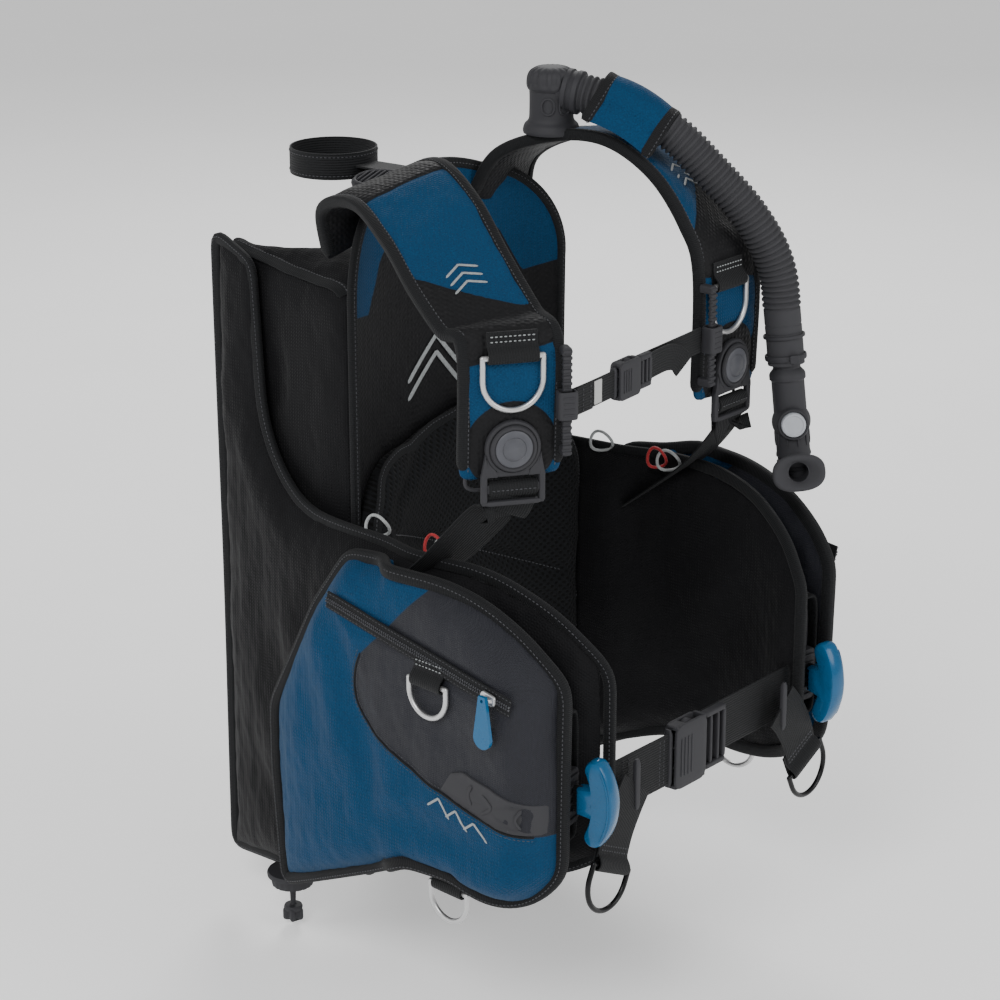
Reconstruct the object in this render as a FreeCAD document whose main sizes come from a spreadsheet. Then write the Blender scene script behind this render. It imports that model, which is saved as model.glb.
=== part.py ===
import FreeCAD, Part
import math
import os

# Buoyancy compensator vest for scuba diving.
# The origin is on the axis of the diving cylinder at the middle of the tank band.
# +Z is up, the wearer faces -Y, and the wearer's left side is +X.
# Most pieces are drawn once for the left side and mirrored for the right side.

V = FreeCAD.Vector
os.makedirs("parts", exist_ok=True)
doc = FreeCAD.newDocument("buoyancy_vest")

# ---------------------------------------------------------------- sizes

SIZES = {
    # the diving cylinder that the vest is strapped to, and its band
    "tank_radius": 92.25,
    "band_width": 50.0,
    "band_thickness": 2.0,
    "band_sweep": 254.0,
    "plate_gap": 2.4,
    "plate_thickness": 2.9,
    "plate_height": 360.0,
    "plate_bottom": -150.0,
    "plate_sweep": 104.0,
    # soft parts
    "cell_clearance": 98.0,
    "cell_top": 372.0,
    "cell_bottom": -235.0,
    "panel_thickness": 4.0,
    "strap_thickness": 12.0,
    # webbing
    "webbing_wide": 50.0,
    "webbing_narrow": 25.0,
    "webbing_thickness": 1.8,
    # weight pouch and its sleeve
    "sleeve_length": 174.0,
    "sleeve_height": 120.0,
    "sleeve_depth": 28.0,
    "sleeve_wall": 2.5,
    "pouch_gap": 1.0,
    "pouch_length": 162.0,
    "front_plate_thickness": 8.0,
    "front_plate_height": 52.0,
    "grip_radius": 9.0,
    "grip_height": 74.0,
    "grip_reach": 30.0,
    # rings
    "chest_ring_width": 58.0,
    "chest_ring_leg": 20.0,
    "small_ring_width": 50.0,
    "small_ring_leg": 9.0,
    "waist_ring_width": 60.0,
    "waist_ring_leg": 12.0,
    "ring_bar": 5.0,
    "keeper_clearance": 0.4,
    "keeper_stand_off": 3.8,
    # swivel shoulder buckle
    "swivel_radius": 24.0,
    "swivel_bore": 17.3,
    "swivel_thickness": 5.0,
    "swivel_pin_radius": 16.9,
    "swivel_cap_radius": 20.0,
    "swivel_frame_width": 56.0,
    "swivel_frame_drop": 50.0,
    "frame_slot_width": 46.0,
    "frame_slot_height": 6.0,
    # chest strap
    "rail_length": 96.0,
    "rail_width": 9.0,
    "rail_depth": 5.0,
    "slider_width": 17.0,
    "slider_depth": 14.0,
    "slider_height": 26.0,
    "slider_play": 0.35,
    # side release buckles
    "chest_buckle_height": 34.0,
    "chest_buckle_depth": 12.0,
    "chest_socket_length": 34.0,
    "waist_buckle_height": 62.0,
    "waist_buckle_depth": 15.0,
    "waist_socket_length": 46.0,
    "buckle_wall": 2.5,
    "buckle_play": 0.5,
    # corrugated hose and inflator
    "hose_radius": 18.5,
    "hose_gap": 0.5,
    "inflator_radius": 16.0,
    "inflator_length": 112.0,
    "button_radius": 12.0,
    "button_play": 0.3,
    "end_button_radius": 10.5,
    "mouth_radius": 13.0,
    "mouth_bore": 9.5,
    "mouth_length": 18.0,
    "nipple_radius": 5.6,
    "nipple_length": 15.0,
    "nipple_seat_height": 17.0,
    # exhaust valve at the hem and its pull
    "valve_radius": 21.0,
    "valve_height": 16.0,
    "valve_cavity_radius": 17.0,
    "valve_cavity_height": 12.0,
    "stem_radius": 1.6,
    "knob_radius": 10.5,
    "knob_height": 17.0,
    # zips
    "zip_length": 236.0,
    "zip_width": 15.0,
    "zip_thickness": 2.4,
    "zip_slider_length": 17.0,
    "zip_slider_width": 10.0,
    "zip_slider_height": 6.5,
    "tab_width": 20.0,
    "tab_drop": 44.0,
    "tab_thickness": 3.0,
    "tab_pin_radius": 1.4,
    "tab_pin_play": 0.2,
    # buckle of the tank band
    "cam_angle": 110.0,
    "cam_length": 62.0,
    "cam_height": 54.0,
    "cam_thickness": 4.0,
    "cam_lever_thickness": 5.0,
    "cam_hub_radius": 4.5,
    "cam_pin_radius": 2.0,
    "cam_pin_bore": 2.1,
}

sheet = doc.addObject("Spreadsheet::Sheet", "Sizes")
for row, (alias, value) in enumerate(SIZES.items(), start=1):
    sheet.set(f"A{row}", alias)
    sheet.set(f"B{row}", str(value))
    sheet.setAlias(f"B{row}", alias)
doc.recompute()


def size(alias):
    """The value of one cell of the sheet."""
    return float(sheet.get(alias))


def bind(obj, **formulas):
    """Bind properties of an object to formulas whose words are cells of the sheet."""
    for prop, formula in formulas.items():
        words = formula.replace("(", " ( ").replace(")", " ) ").split()
        full = [f"Sizes.{word}" if word in SIZES else word for word in words]
        obj.setExpression(prop, " ".join(full))


# ---------------------------------------------------------------- places

UPRIGHT = FreeCAD.Rotation()
SIDE_VIEW = FreeCAD.Rotation(V(1, 1, 1), 120)      # local x, y, z become Y, Z, X
FRONT_VIEW = FreeCAD.Rotation(V(1, 0, 0), 90)      # local x, y, z become X, Z, -Y


def facing(normal, up=V(0, 0, 1)):
    """A rotation whose local z is the normal and whose local y is as near to up as it can be."""
    forward = V(normal).normalize()
    across = V(up).cross(forward).normalize()
    return FreeCAD.Rotation(across, forward.cross(across), forward, "ZYX")


def placed(position, rotation=UPRIGHT):
    return FreeCAD.Placement(V(position), rotation)


def moved(frame, x=0.0, y=0.0, z=0.0, rotation=UPRIGHT):
    """A placement given in the local coordinates of another placement."""
    return frame.multiply(FreeCAD.Placement(V(x, y, z), rotation))


# ---------------------------------------------------------------- makers

nodes = {}


def node(label, obj):
    """Register an object as a finished sub-part."""
    obj.Label = label
    nodes[label] = obj
    return obj


def helper(label, obj):
    obj.Label = label
    return obj


def box(label, x, y, z, place):
    """A box whose sizes are formulas, centred on x and y and standing on z = 0 of its place."""
    made = doc.addObject("Part::Box", label)
    bind(made, Length=x, Width=y, Height=z)
    doc.recompute()
    made.Placement = moved(place, -made.Length.Value / 2, -made.Width.Value / 2)
    return helper(label, made)


def cylinder(label, radius, length, place, sweep="360"):
    made = doc.addObject("Part::Cylinder", label)
    bind(made, Radius=radius, Height=length, Angle=sweep)
    made.Placement = place
    return helper(label, made)


def fuse(label, *shapes):
    made = doc.addObject("Part::MultiFuse", label)
    made.Shapes = list(shapes)
    return helper(label, made)


def cut(label, base, *tools):
    """The base with each tool taken away in turn."""
    for number, tool in enumerate(tools):
        made = doc.addObject("Part::Cut", f"{label}_cut_{number}")
        made.Base = base
        made.Tool = tool
        base = made
    return helper(label, base)


def group(label, *shapes):
    made = doc.addObject("Part::Compound", label)
    made.Links = list(shapes)
    return helper(label, made)


def mirrored(label, source):
    """The same piece for the wearer's right side."""
    made = doc.addObject("Part::Mirroring", label)
    made.Source = source
    made.Base = V(0, 0, 0)
    made.Normal = V(1, 0, 0)
    return helper(label, made)


def draw(body, name, outline):
    """A closed sketch on the body's own XY plane.
    The outline is a start (x, y), then lines to (x, y) or arcs through (mx, my) to (x, y)."""
    sketch = body.newObject("Sketcher::SketchObject", name)
    plane = [item for item in body.Origin.OriginFeatures if item.Role == "XY_Plane"][0]
    sketch.AttachmentSupport = (plane, [""])
    sketch.MapMode = "FlatFace"
    here = V(*outline[0], 0)
    for step in outline[1:] + [outline[0]]:
        there = V(*step[-2:], 0)
        if len(step) == 4:
            sketch.addGeometry(Part.Arc(here, V(*step[:2], 0), there), False)
        elif (there - here).Length > 1e-6:
            sketch.addGeometry(Part.LineSegment(here, there), False)
        here = there
    return sketch


def pad(label, outline, length, place=None, start=0.0, holes=()):
    """A body padded from a flat outline, with round or outlined holes pocketed through it."""
    body = doc.addObject("PartDesign::Body", label)
    profile = draw(body, f"{label}_outline", outline)
    profile.AttachmentOffset = FreeCAD.Placement(V(0, 0, start), UPRIGHT)
    solid = body.newObject("PartDesign::Pad", f"{label}_pad")
    solid.Profile = profile
    bind(solid, Length=length)
    doc.recompute()
    for number, hole in enumerate(holes):
        before = body.Shape.Volume
        opening = draw(body, f"{label}_hole_{number}", hole)
        opening.AttachmentOffset = FreeCAD.Placement(V(0, 0, start), UPRIGHT)
        pocket = body.newObject("PartDesign::Pocket", f"{label}_pocket_{number}")
        pocket.Profile = opening
        pocket.Type = "ThroughAll"
        pocket.Reversed = True
        doc.recompute()
        if body.Shape.Volume > before - 1.0:
            raise RuntimeError(f"{label}: hole {number} removed nothing")
    if place is not None:
        body.Placement = place
    return helper(label, body)


def circle(radius, x=0.0, y=0.0):
    """An outline of one circle, as two half arcs."""
    return [(x - radius, y), (x, y + radius, x + radius, y), (x, y - radius, x - radius, y)]


def rectangle(width, height, x=0.0, y=0.0, corner=0.0):
    """An outline of a rectangle centred on x, y, with round corners if asked for."""
    a = width / 2
    b = height / 2
    if corner == 0.0:
        return [(x - a, y - b), (x + a, y - b), (x + a, y + b), (x - a, y + b)]
    k = corner * (1 - math.sqrt(0.5))
    return [
        (x - a + corner, y - b),
        (x + a - corner, y - b),
        (x + a - k, y - b + k, x + a, y - b + corner),
        (x + a, y + b - corner),
        (x + a - k, y + b - k, x + a - corner, y + b),
        (x - a + corner, y + b),
        (x - a + k, y + b - k, x - a, y + b - corner),
        (x - a, y - b + corner),
        (x - a + k, y - b + k, x - a + corner, y - b),
    ]


def crossed(label, plan, low, high, elevation, view, near, far):
    """A soft shape with one outline from above and another from the side or the front."""
    stack = pad(f"{label}_plan", plan, str(high - low), placed((0, 0, low)))
    start = V(near, 0, 0) if view is SIDE_VIEW else V(0, -near, 0)
    slab = pad(f"{label}_view", elevation, str(far - near), FreeCAD.Placement(start, view))
    made = doc.addObject("Part::Common", label)
    made.Base = stack
    made.Tool = slab
    return helper(label, made)


def feature(label, shape, place=None):
    made = doc.addObject("Part::Feature", label)
    made.Shape = shape
    if place is not None:
        made.Placement = place
    return helper(label, made)


# ---------------------------------------------------------------- tank side

PLATE_START = 270.0 - size("plate_sweep") / 2
BAND_START = PLATE_START + size("plate_sweep") + 1.0


def turned(angle, z):
    return placed((0, 0, z), FreeCAD.Rotation(V(0, 0, 1), angle))


def tank_band():
    """Webbing that goes round the diving cylinder; its inside is the clamp."""
    place = turned(BAND_START, -size("band_width") / 2)
    outer = cylinder("band_outside", "tank_radius + band_thickness", "band_width", place, "band_sweep")
    inner = cylinder("band_inside", "tank_radius", "band_width", place)
    return node("tank_band", cut("band_ring", outer, inner))


def backpack_plate():
    """Curved moulded plate between the cylinder and the air cell."""
    place = turned(PLATE_START, size("plate_bottom"))
    outer = cylinder("plate_outside", "tank_radius + plate_gap + plate_thickness", "plate_height", place,
                     "plate_sweep")
    inner = cylinder("plate_inside", "tank_radius + plate_gap", "plate_height", place)
    return node("backpack_plate", cut("plate_shell", outer, inner))


def cam_frame():
    """Place of the cam buckle: local x along the band, y up, z away from the cylinder."""
    angle = math.radians(size("cam_angle"))
    outward = V(math.cos(angle), math.sin(angle), 0)
    radius = size("tank_radius") + size("band_thickness") + 0.2
    return FreeCAD.Placement(outward * radius, facing(outward))


CAM_HUB_X = 21.0
CAM_HUB_Z = 10.5


def cam_buckle():
    """Base plate on the band, with two ears that carry the lever's pins."""
    frame = cam_frame()
    base = box("cam_base", "cam_length", "cam_height", "cam_thickness", frame)
    ears = []
    bores = []
    for side in (-1, 1):
        name = "upper" if side > 0 else "lower"
        y = side * (size("cam_height") / 2 - 1.5)
        ear = box(f"cam_ear_{name}", "12", "3", "16", moved(frame, CAM_HUB_X, y, 0))
        ears.append(ear)
        turn = FreeCAD.Rotation(V(1, 0, 0), -90)
        spot = moved(frame, CAM_HUB_X, y - 4, CAM_HUB_Z, turn)
        bores.append(cylinder(f"cam_bore_{name}", "cam_pin_bore", "8", spot))
    return node("cam_buckle", cut("cam_body", fuse("cam_solid", base, *ears), *bores))


def cam_lever():
    """Lever with a round hub and two pins, closed over the base."""
    frame = cam_frame()
    turn = FreeCAD.Rotation(V(1, 0, 0), -90)
    low = -size("cam_height") / 2 + 4.0
    hub = cylinder("lever_hub", "cam_hub_radius", "cam_height - 8",
                   moved(frame, CAM_HUB_X, low, CAM_HUB_Z, turn))
    pin = cylinder("lever_pin", "cam_pin_radius", "cam_height",
                   moved(frame, CAM_HUB_X, low - 4.0, CAM_HUB_Z, turn))
    arm = box("lever_arm", "cam_length - 16", "cam_height - 8", "cam_lever_thickness",
              moved(frame, CAM_HUB_X - (size("cam_length") - 16) / 2, 0, CAM_HUB_Z - 1.5))
    return node("cam_lever", fuse("lever_solid", hub, pin, arm))


def valve_loop():
    """Webbing loop that goes over the neck of the cylinder and holds it from slipping."""
    outer = cylinder("loop_outside", "42", "webbing_narrow", placed((0, 0, 414)))
    tie = box("loop_tie", "webbing_narrow", "84", "webbing_thickness", placed((0, -82, 426)))
    inner = cylinder("loop_inside", "40", "webbing_narrow", placed((0, 0, 414)))
    return node("valve_loop", cut("loop_solid", fuse("loop_full", outer, tie), inner))


# ---------------------------------------------------------------- back and air cell

BACK_HALF = 150.0
BACK_EDGE_Y = -158.0
BACK_MIDDLE_Y = -119.0


def back_arc(offset, start, end):
    """The curved front of the back at some offset: a start, then an arc to the other end."""
    return [(start, BACK_EDGE_Y - offset), (0.0, BACK_MIDDLE_Y - offset, end, BACK_EDGE_Y - offset)]


def air_cell():
    """Air bladder in its shell, wrapped round both sides of the cylinder."""
    plan = back_arc(0.0, -BACK_HALF, BACK_HALF) + [(122, -20), (112, 36), (-112, 36), (-122, -20)]
    bottom = size("cell_bottom")
    top = size("cell_top")
    front = [
        (-110, bottom), (110, bottom), (138, bottom + 12, 150, bottom + 45),
        (150, 290), (140, 345, 96, top), (-96, top), (-140, 345, -150, 290),
        (-150, bottom + 45), (-138, bottom + 12, -110, bottom),
    ]
    whole = crossed("cell_whole", plan, bottom - 1, top + 1, front, FRONT_VIEW, -60, 170)
    bore = cylinder("cell_bore", "cell_clearance", "cell_top - cell_bottom + 20", placed((0, 0, bottom - 10)))
    return node("air_cell", cut("cell_solid", whole, bore))


def back_panel():
    """Fabric back that rises to the collar between the shoulders."""
    thick = size("panel_thickness")
    rear = back_arc(0.0, -BACK_HALF, BACK_HALF)
    plan = rear + back_arc(thick, BACK_HALF, -BACK_HALF)
    front = [
        (-110, -235), (110, -235), (138, -223, 150, -190), (150, 330),
        (132, 392, 66, 428), (0, 440, -66, 428), (-132, 392, -150, 330),
        (-150, -190), (-138, -223, -110, -235),
    ]
    return node("back_panel", crossed("panel_solid", plan, -236, 446, front, FRONT_VIEW, 100, 180))


def back_pad():
    """Padded mesh lumbar cushion, thickest at its sides."""
    thick = size("panel_thickness")
    plan = back_arc(thick, -BACK_HALF, BACK_HALF) + [(150, -214), (0, -146, -150, -214)]
    front = [
        (-120, -130), (120, -130), (142, -121, 150, -98), (150, 120),
        (120, 186, 30, 204), (-56, 184), (-128, 160, -150, 90), (-150, -98), (-142, -121, -120, -130),
    ]
    return node("back_pad", crossed("pad_solid", plan, -131, 206, front, FRONT_VIEW, 110, 230))


# ---------------------------------------------------------------- lobes and pockets

NOSE = (150, -453)
SIDE_START = (198, -258)
SIDE_END = (166, -432)


def lobe():
    """Side lobe that carries the air round the waist to the front."""
    plan = [
        (113.5, 36), (123.5, -20), (151.8, -158), (152, -222),
        (172, -268, 176, -310), (167, -385, 141, -448), NOSE, SIDE_END, SIDE_START, (172, -95, 126, 40),
    ]
    side = [
        (42, 372), (-19, 356), (-28, 240), (-62, 168, -128, 140), (-319, 140),
        (-404, 114, -456, 60), (-456, -105), (-400, -134, -341, -140),
        (-205, -176, -96, -236), (42, -262),
    ]
    return crossed("left_lobe_solid", plan, -270, 380, side, SIDE_VIEW, 100, 240)


def cargo_pocket():
    """Zipped pocket on the outside of the lobe."""
    plan = [
        (183, -84), (187, -84), (214, -140, 228, -200), (243, -400), (236, -432, 211, -447),
        (196.5, -441), (228, -262), (199.8, -256),
    ]
    side = [
        (-202, 134), (-264, 142), (-319, 140), (-400, 114, -450, 66), (-448, -105),
        (-390, -150, -341, -140), (-287, -139), (-241, -165), (-96, -232), (-84, -112),
        (-84, -49), (-155, 74),
    ]
    return crossed("left_pocket_solid", plan, -240, 150, side, SIDE_VIEW, 170, 260)


SLIDE = V(SIDE_END[0] - SIDE_START[0], SIDE_END[1] - SIDE_START[1], 0).normalize()
OUTWARD = V(-SLIDE.y, SLIDE.x, 0)
SLEEVE_TOP = 34.0


def sleeve_frame():
    """Local x is the way the pouch pulls out, y is down and z is away from the body."""
    turn = FreeCAD.Rotation(SLIDE, OUTWARD.cross(SLIDE), OUTWARD, "ZYX")
    middle = SLEEVE_TOP - size("sleeve_height") / 2
    return FreeCAD.Placement(V(*SIDE_START, middle) + OUTWARD * 0.6, turn)


def pouch_sleeve():
    frame = sleeve_frame()
    outer = box("sleeve_outside", "sleeve_length", "sleeve_height", "sleeve_depth",
                moved(frame, size("sleeve_length") / 2 + 2))
    inner = box("sleeve_inside", "sleeve_length", "sleeve_height - 2 * sleeve_wall",
                "sleeve_depth - 2 * sleeve_wall",
                moved(frame, size("sleeve_length") / 2 + 2 + size("sleeve_wall"), 0, size("sleeve_wall")))
    return cut("left_sleeve_solid", outer, inner)


POUCH_START = 8.0


def weight_pouch():
    """Ballast pouch with a stiff front plate."""
    frame = sleeve_frame()
    gap = size("sleeve_wall") + size("pouch_gap")
    bag = box("pouch_bag", "pouch_length", "sleeve_height - 2 * sleeve_wall - 2 * pouch_gap",
              "sleeve_depth - 2 * sleeve_wall - 2 * pouch_gap",
              moved(frame, POUCH_START + size("pouch_length") / 2, 0, gap))
    end = POUCH_START + size("pouch_length") + size("front_plate_thickness") / 2
    plate = box("pouch_plate", "front_plate_thickness + 10", "front_plate_height",
                "sleeve_depth - 2 * sleeve_wall - 2 * pouch_gap", moved(frame, end + 5, 18, gap))
    return fuse("left_pouch_solid", bag, plate)


def pouch_grip():
    """Grip in the shape of a bow, joined to the front plate by a short web."""
    frame = sleeve_frame()
    reach = size("grip_reach")
    tall = size("grip_height") / 2
    radius = size("grip_radius")
    start = POUCH_START + size("pouch_length") + size("front_plate_thickness") + 10.2
    bow = [
        (0, -12), (reach - 16, -14), (reach - 22, -tall + 8), (reach - 18, -tall - 2, reach - 6, -tall),
        (reach + 6, 0, reach - 6, tall), (reach - 18, tall + 2, reach - 22, tall - 8),
        (reach - 16, 14), (0, 12),
    ]
    place = moved(frame, start, 18, size("sleeve_depth") / 2 - radius)
    return pad("left_grip_solid", bow, "2 * grip_radius", place)


# ---------------------------------------------------------------- shoulder straps

# Each station is the strap's inner edge and outer edge, from the back to the chest.
RIGHT_STRAP = [
    ((-50, -126, 398), (-140, -122, 372)),
    ((-58, -148, 440), (-148, -122, 420)),
    ((-75, -203, 462), (-160, -172, 434)),
    ((-90, -255, 441), (-178, -225, 412)),
    ((-104, -302, 400), (-194, -270, 380)),
    ((-115, -346, 362), (-200, -306, 352)),
    ((-125.9, -379.4, 340), (-200.1, -328.6, 340)),
    ((-125.9, -379.4, 224), (-200.1, -328.6, 224)),
]
LEFT_STRAP = [
    ((50, -126, 398), (140, -122, 372)),
    ((60, -152, 442), (146, -128, 424)),
    ((80, -203, 462), (160, -178, 450)),
    ((94, -252, 462), (176, -236, 448)),
    ((102, -300, 436), (190, -284, 422)),
    ((107, -334, 392), (198, -318, 382)),
    ((112, -347, 345), (204, -347, 345)),
    ((112, -347, 224), (204, -347, 224)),
]


def strap(label, stations):
    """A padded strap lofted through flat cross-sections square to its run."""
    half = size("strap_thickness") / 2
    middles = [(V(*inner) + V(*outer)) * 0.5 for inner, outer in stations]
    sections = []
    for number, (inner, outer) in enumerate(stations):
        before = middles[max(number - 1, 0)]
        after = middles[min(number + 1, len(middles) - 1)]
        across = V(*outer) - V(*inner)
        lift = across.cross(after - before).normalize() * half
        corners = [V(*inner) - lift, V(*outer) - lift, V(*outer) + lift, V(*inner) + lift]
        sections.append(Part.makePolygon(corners + corners[:1]))
    return node(label, feature(label, Part.makeLoft(sections, True, True)))


# The flat part of each strap at the chest: its middle and the way it faces.
RIGHT_FACE = V(*RIGHT_STRAP[-1][0]) - V(*RIGHT_STRAP[-1][1])
RIGHT_NORMAL = V(RIGHT_FACE.y, -RIGHT_FACE.x, 0).normalize()
LEFT_NORMAL = V(0, -1, 0)


def chest_frame(side, z):
    """On the front face of the strap: local x to the wearer's left, y up, z away from the chest."""
    stations = RIGHT_STRAP if side == "right" else LEFT_STRAP
    normal = RIGHT_NORMAL if side == "right" else LEFT_NORMAL
    middle = (V(*stations[-1][0]) + V(*stations[-1][1])) * 0.5
    middle.z = z
    return FreeCAD.Placement(middle + normal * (size("strap_thickness") / 2), facing(normal))


# ---------------------------------------------------------------- rings and keepers

CHEST_RING_Z = 334.0
POCKET_OUT = (0.9972, 0.0748, 0)
CHEST_RING_X = {"right": 0.0, "left": -7.5}


def ring_places():
    """Where each ring's bar is: local x along the bar, y towards the keeper, z outwards."""
    lift = size("keeper_stand_off")
    places = {}
    for side in ("right", "left"):
        chest = chest_frame(side, CHEST_RING_Z)
        places[f"{side}_chest"] = moved(chest, CHEST_RING_X[side], 0, lift)
    pocket_out = V(*POCKET_OUT)
    on_pocket = V(237.9, -328.0, 52.0) + pocket_out * lift
    below = V(218.0, -330.0, -152.0)
    tail_up = V(-0.44, 0, 0.90)
    on_tail = V(150.0, -459.2, -116.0)
    spots = {
        "pocket": (on_pocket, pocket_out, V(0, 0, 1)),
        "hem": (below, pocket_out, V(0, 0, 1)),
        "waist": (on_tail, V(0, -1, 0), tail_up),
    }
    for name, (spot, normal, up) in spots.items():
        places[f"left_{name}"] = FreeCAD.Placement(spot, facing(normal, up))
        other = [V(-item.x, item.y, item.z) for item in (spot, normal, up)]
        places[f"right_{name}"] = FreeCAD.Placement(other[0], facing(other[1], other[2]))
    return places


RING_KINDS = {
    "chest": ("chest_ring_width", "chest_ring_leg"),
    "pocket": ("small_ring_width", "small_ring_leg"),
    "hem": ("small_ring_width", "small_ring_leg"),
    "waist": ("waist_ring_width", "waist_ring_leg"),
}


def d_ring(label, kind, place):
    """Ring bent from round bar: a straight bar, two legs and a half circle."""
    width, leg = RING_KINDS[kind]
    half = (size(width) - size("ring_bar")) / 2
    drop = size(leg)
    across = FreeCAD.Rotation(V(0, 1, 0), 90)
    down = FreeCAD.Rotation(V(1, 0, 0), 90)
    bar_place = moved(place, -half, 0, 0, across)
    parts = [cylinder(f"{label}_bar", "ring_bar / 2", f"{width} - ring_bar", bar_place)]
    for side in (-1, 1):
        name = "b" if side > 0 else "a"
        leg_place = moved(place, side * half, 0, 0, down)
        parts.append(cylinder(f"{label}_leg_{name}", "ring_bar / 2", leg, leg_place))
        corner = doc.addObject("Part::Sphere", f"{label}_corner_{name}")
        bind(corner, Radius="ring_bar / 2")
        corner.Placement = moved(place, side * half)
        parts.append(corner)
    bow = doc.addObject("Part::Torus", f"{label}_bow")
    bind(bow, Radius1=f"( {width} - ring_bar ) / 2", Radius2="ring_bar / 2")
    bow.Angle3 = 180
    bow.Placement = moved(place, 0, -drop, 0, FreeCAD.Rotation(V(0, 0, 1), 180))
    parts.append(bow)
    return node(label, fuse(f"{label}_solid", *parts))


def ring_keepers():
    """Folded webbing sewn down over each ring's bar."""
    keepers = []
    for name, place in ring_places().items():
        width = RING_KINDS[name.split("_")[1]][0]
        block = box(f"{name}_keeper", f"{width} - 2 * ring_bar - 3", "ring_bar + 8", "2 * keeper_stand_off",
                    moved(place, 0, 0, -size("keeper_stand_off")))
        across = FreeCAD.Rotation(V(0, 1, 0), 90)
        bore = cylinder(f"{name}_keeper_bore", "ring_bar / 2 + keeper_clearance", "80",
                        moved(place, -40, 0, 0, across))
        keepers.append(cut(f"{name}_keeper_cut", block, bore))
    return node("ring_keepers", group("keepers", *keepers))


# ---------------------------------------------------------------- swivel buckles

SWIVEL_Z = 254.0


def swivel_pin(side):
    """Fixed round button that the swivel turns on, with a cap that holds it."""
    frame = chest_frame(side, SWIVEL_Z)
    pin = cylinder(f"{side}_pin", "swivel_pin_radius", "swivel_thickness + 2", frame)
    cap = cylinder(f"{side}_pin_cap", "swivel_cap_radius", "2.2", moved(frame, 0, 0, 6.6))
    return fuse(f"{side}_pin_solid", pin, cap)


def swivel_buckle(side):
    """Ring on the button with a ladder frame for the shoulder webbing below it."""
    frame = chest_frame(side, SWIVEL_Z)
    drop = size("swivel_frame_drop")
    wide = size("swivel_frame_width") / 2
    radius = size("swivel_radius")
    outline = [
        (-wide, -drop + 4), (-wide + 4, -drop), (wide - 4, -drop), (wide, -drop + 4),
        (wide, -20), (radius, 0), (0, radius, -radius, 0), (-wide, -20),
    ]
    slot_wide = size("frame_slot_width")
    slot_tall = size("frame_slot_height")
    holes = [
        circle(size("swivel_bore")),
        rectangle(slot_wide, slot_tall, 0, -27.5),
        rectangle(slot_wide, slot_tall, 0, -drop + 6.5),
    ]
    return node(f"{side}_swivel_buckle",
                pad(f"{side}_swivel_solid", outline, "swivel_thickness", moved(frame, 0, 0, 1.0), 0.0, holes))


def webbing_between(label, start, end, wide, normal):
    """A flat strip of webbing from one point to another."""
    first = V(*start)
    run = V(*end) - first
    across = V(normal).cross(run).normalize()
    flat = run.cross(across).normalize()
    turn = FreeCAD.Rotation(across, flat, V(run).normalize(), "ZYX")
    return box(label, wide, "webbing_thickness", str(run.Length), FreeCAD.Placement(first, turn))


def shoulder_webbing():
    right = webbing_between("right_shoulder_strip", (-172, -343, 194), (-184, -298, 144), "webbing_wide",
                            RIGHT_NORMAL)
    left = webbing_between("left_shoulder_strip", (166, -349, 194), (180, -302, 144), "webbing_wide",
                           LEFT_NORMAL)
    return node("shoulder_webbing", group("shoulder_strips", right, left))


# ---------------------------------------------------------------- chest strap

RAIL_Z = 244.0
RAIL_SPOT = {"right": V(-133.5, -392.4, 0), "left": V(112.0, -366.0, 0)}
STERNUM_Z = 290.0
STERNUM_RUN = (RAIL_SPOT["left"] - RAIL_SPOT["right"]).normalize()
BUCKLE_MIDDLE = 112.0


def rail(side):
    """Upright rail on the inner edge of the strap, with a foot at each end."""
    normal = RIGHT_NORMAL if side == "right" else LEFT_NORMAL
    middle = RAIL_SPOT[side] + V(0, 0, RAIL_Z)
    frame = FreeCAD.Placement(middle, FreeCAD.Rotation(V(0, 0, 1).cross(normal), V(0, 0, 1), normal, "ZYX"))
    bar = box(f"{side}_rail_bar", "rail_width", "rail_length", "rail_depth",
              moved(frame, 0, size("rail_length") / 2, -size("rail_depth") / 2))
    feet = []
    for number, y in enumerate((4.0, size("rail_length") - 4.0)):
        feet.append(box(f"{side}_rail_foot_{number}", "rail_width", "8", "rail_depth + 11",
                        moved(frame, 0, y, -size("rail_depth") / 2 - 11)))
    return fuse(f"{side}_rail_solid", bar, *feet)


def rail_slider(side):
    """Clip that runs on the rail and carries the chest webbing."""
    normal = RIGHT_NORMAL if side == "right" else LEFT_NORMAL
    frame = FreeCAD.Placement(RAIL_SPOT[side] + V(0, 0, STERNUM_Z - size("slider_height") / 2),
                              FreeCAD.Rotation(V(0, 0, 1).cross(normal) * -1, normal * -1, V(0, 0, 1), "ZYX"))
    outer = box(f"{side}_clip", "slider_width", "slider_depth", "slider_height", frame)
    inner = box(f"{side}_clip_bore", "rail_width + 2 * slider_play", "rail_depth + 2 * slider_play",
                "slider_height + 2", moved(frame, 0, 0, -1))
    return node(f"{side}_sternum_slider", cut(f"{side}_slider_solid", outer, inner))


def sternum_point(distance, depth=0.0):
    """A point on the chest strap, measured from the right rail; depth is towards the wearer."""
    inward = V(-STERNUM_RUN.y, STERNUM_RUN.x, 0)
    return RAIL_SPOT["right"] + STERNUM_RUN * distance + inward * depth + V(0, 0, STERNUM_Z)


def sternum_frame(distance):
    """Local z along the strap towards the wearer's left, y up."""
    up = V(0, 0, 1)
    turn = FreeCAD.Rotation(up.cross(STERNUM_RUN), up, STERNUM_RUN, "ZYX")
    return FreeCAD.Placement(sternum_point(distance), turn)


def strip_along_sternum(label, start, end, depth):
    return webbing_between(label, sternum_point(start, depth), sternum_point(end, depth), "webbing_narrow",
                           V(0, -1, 0))


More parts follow.
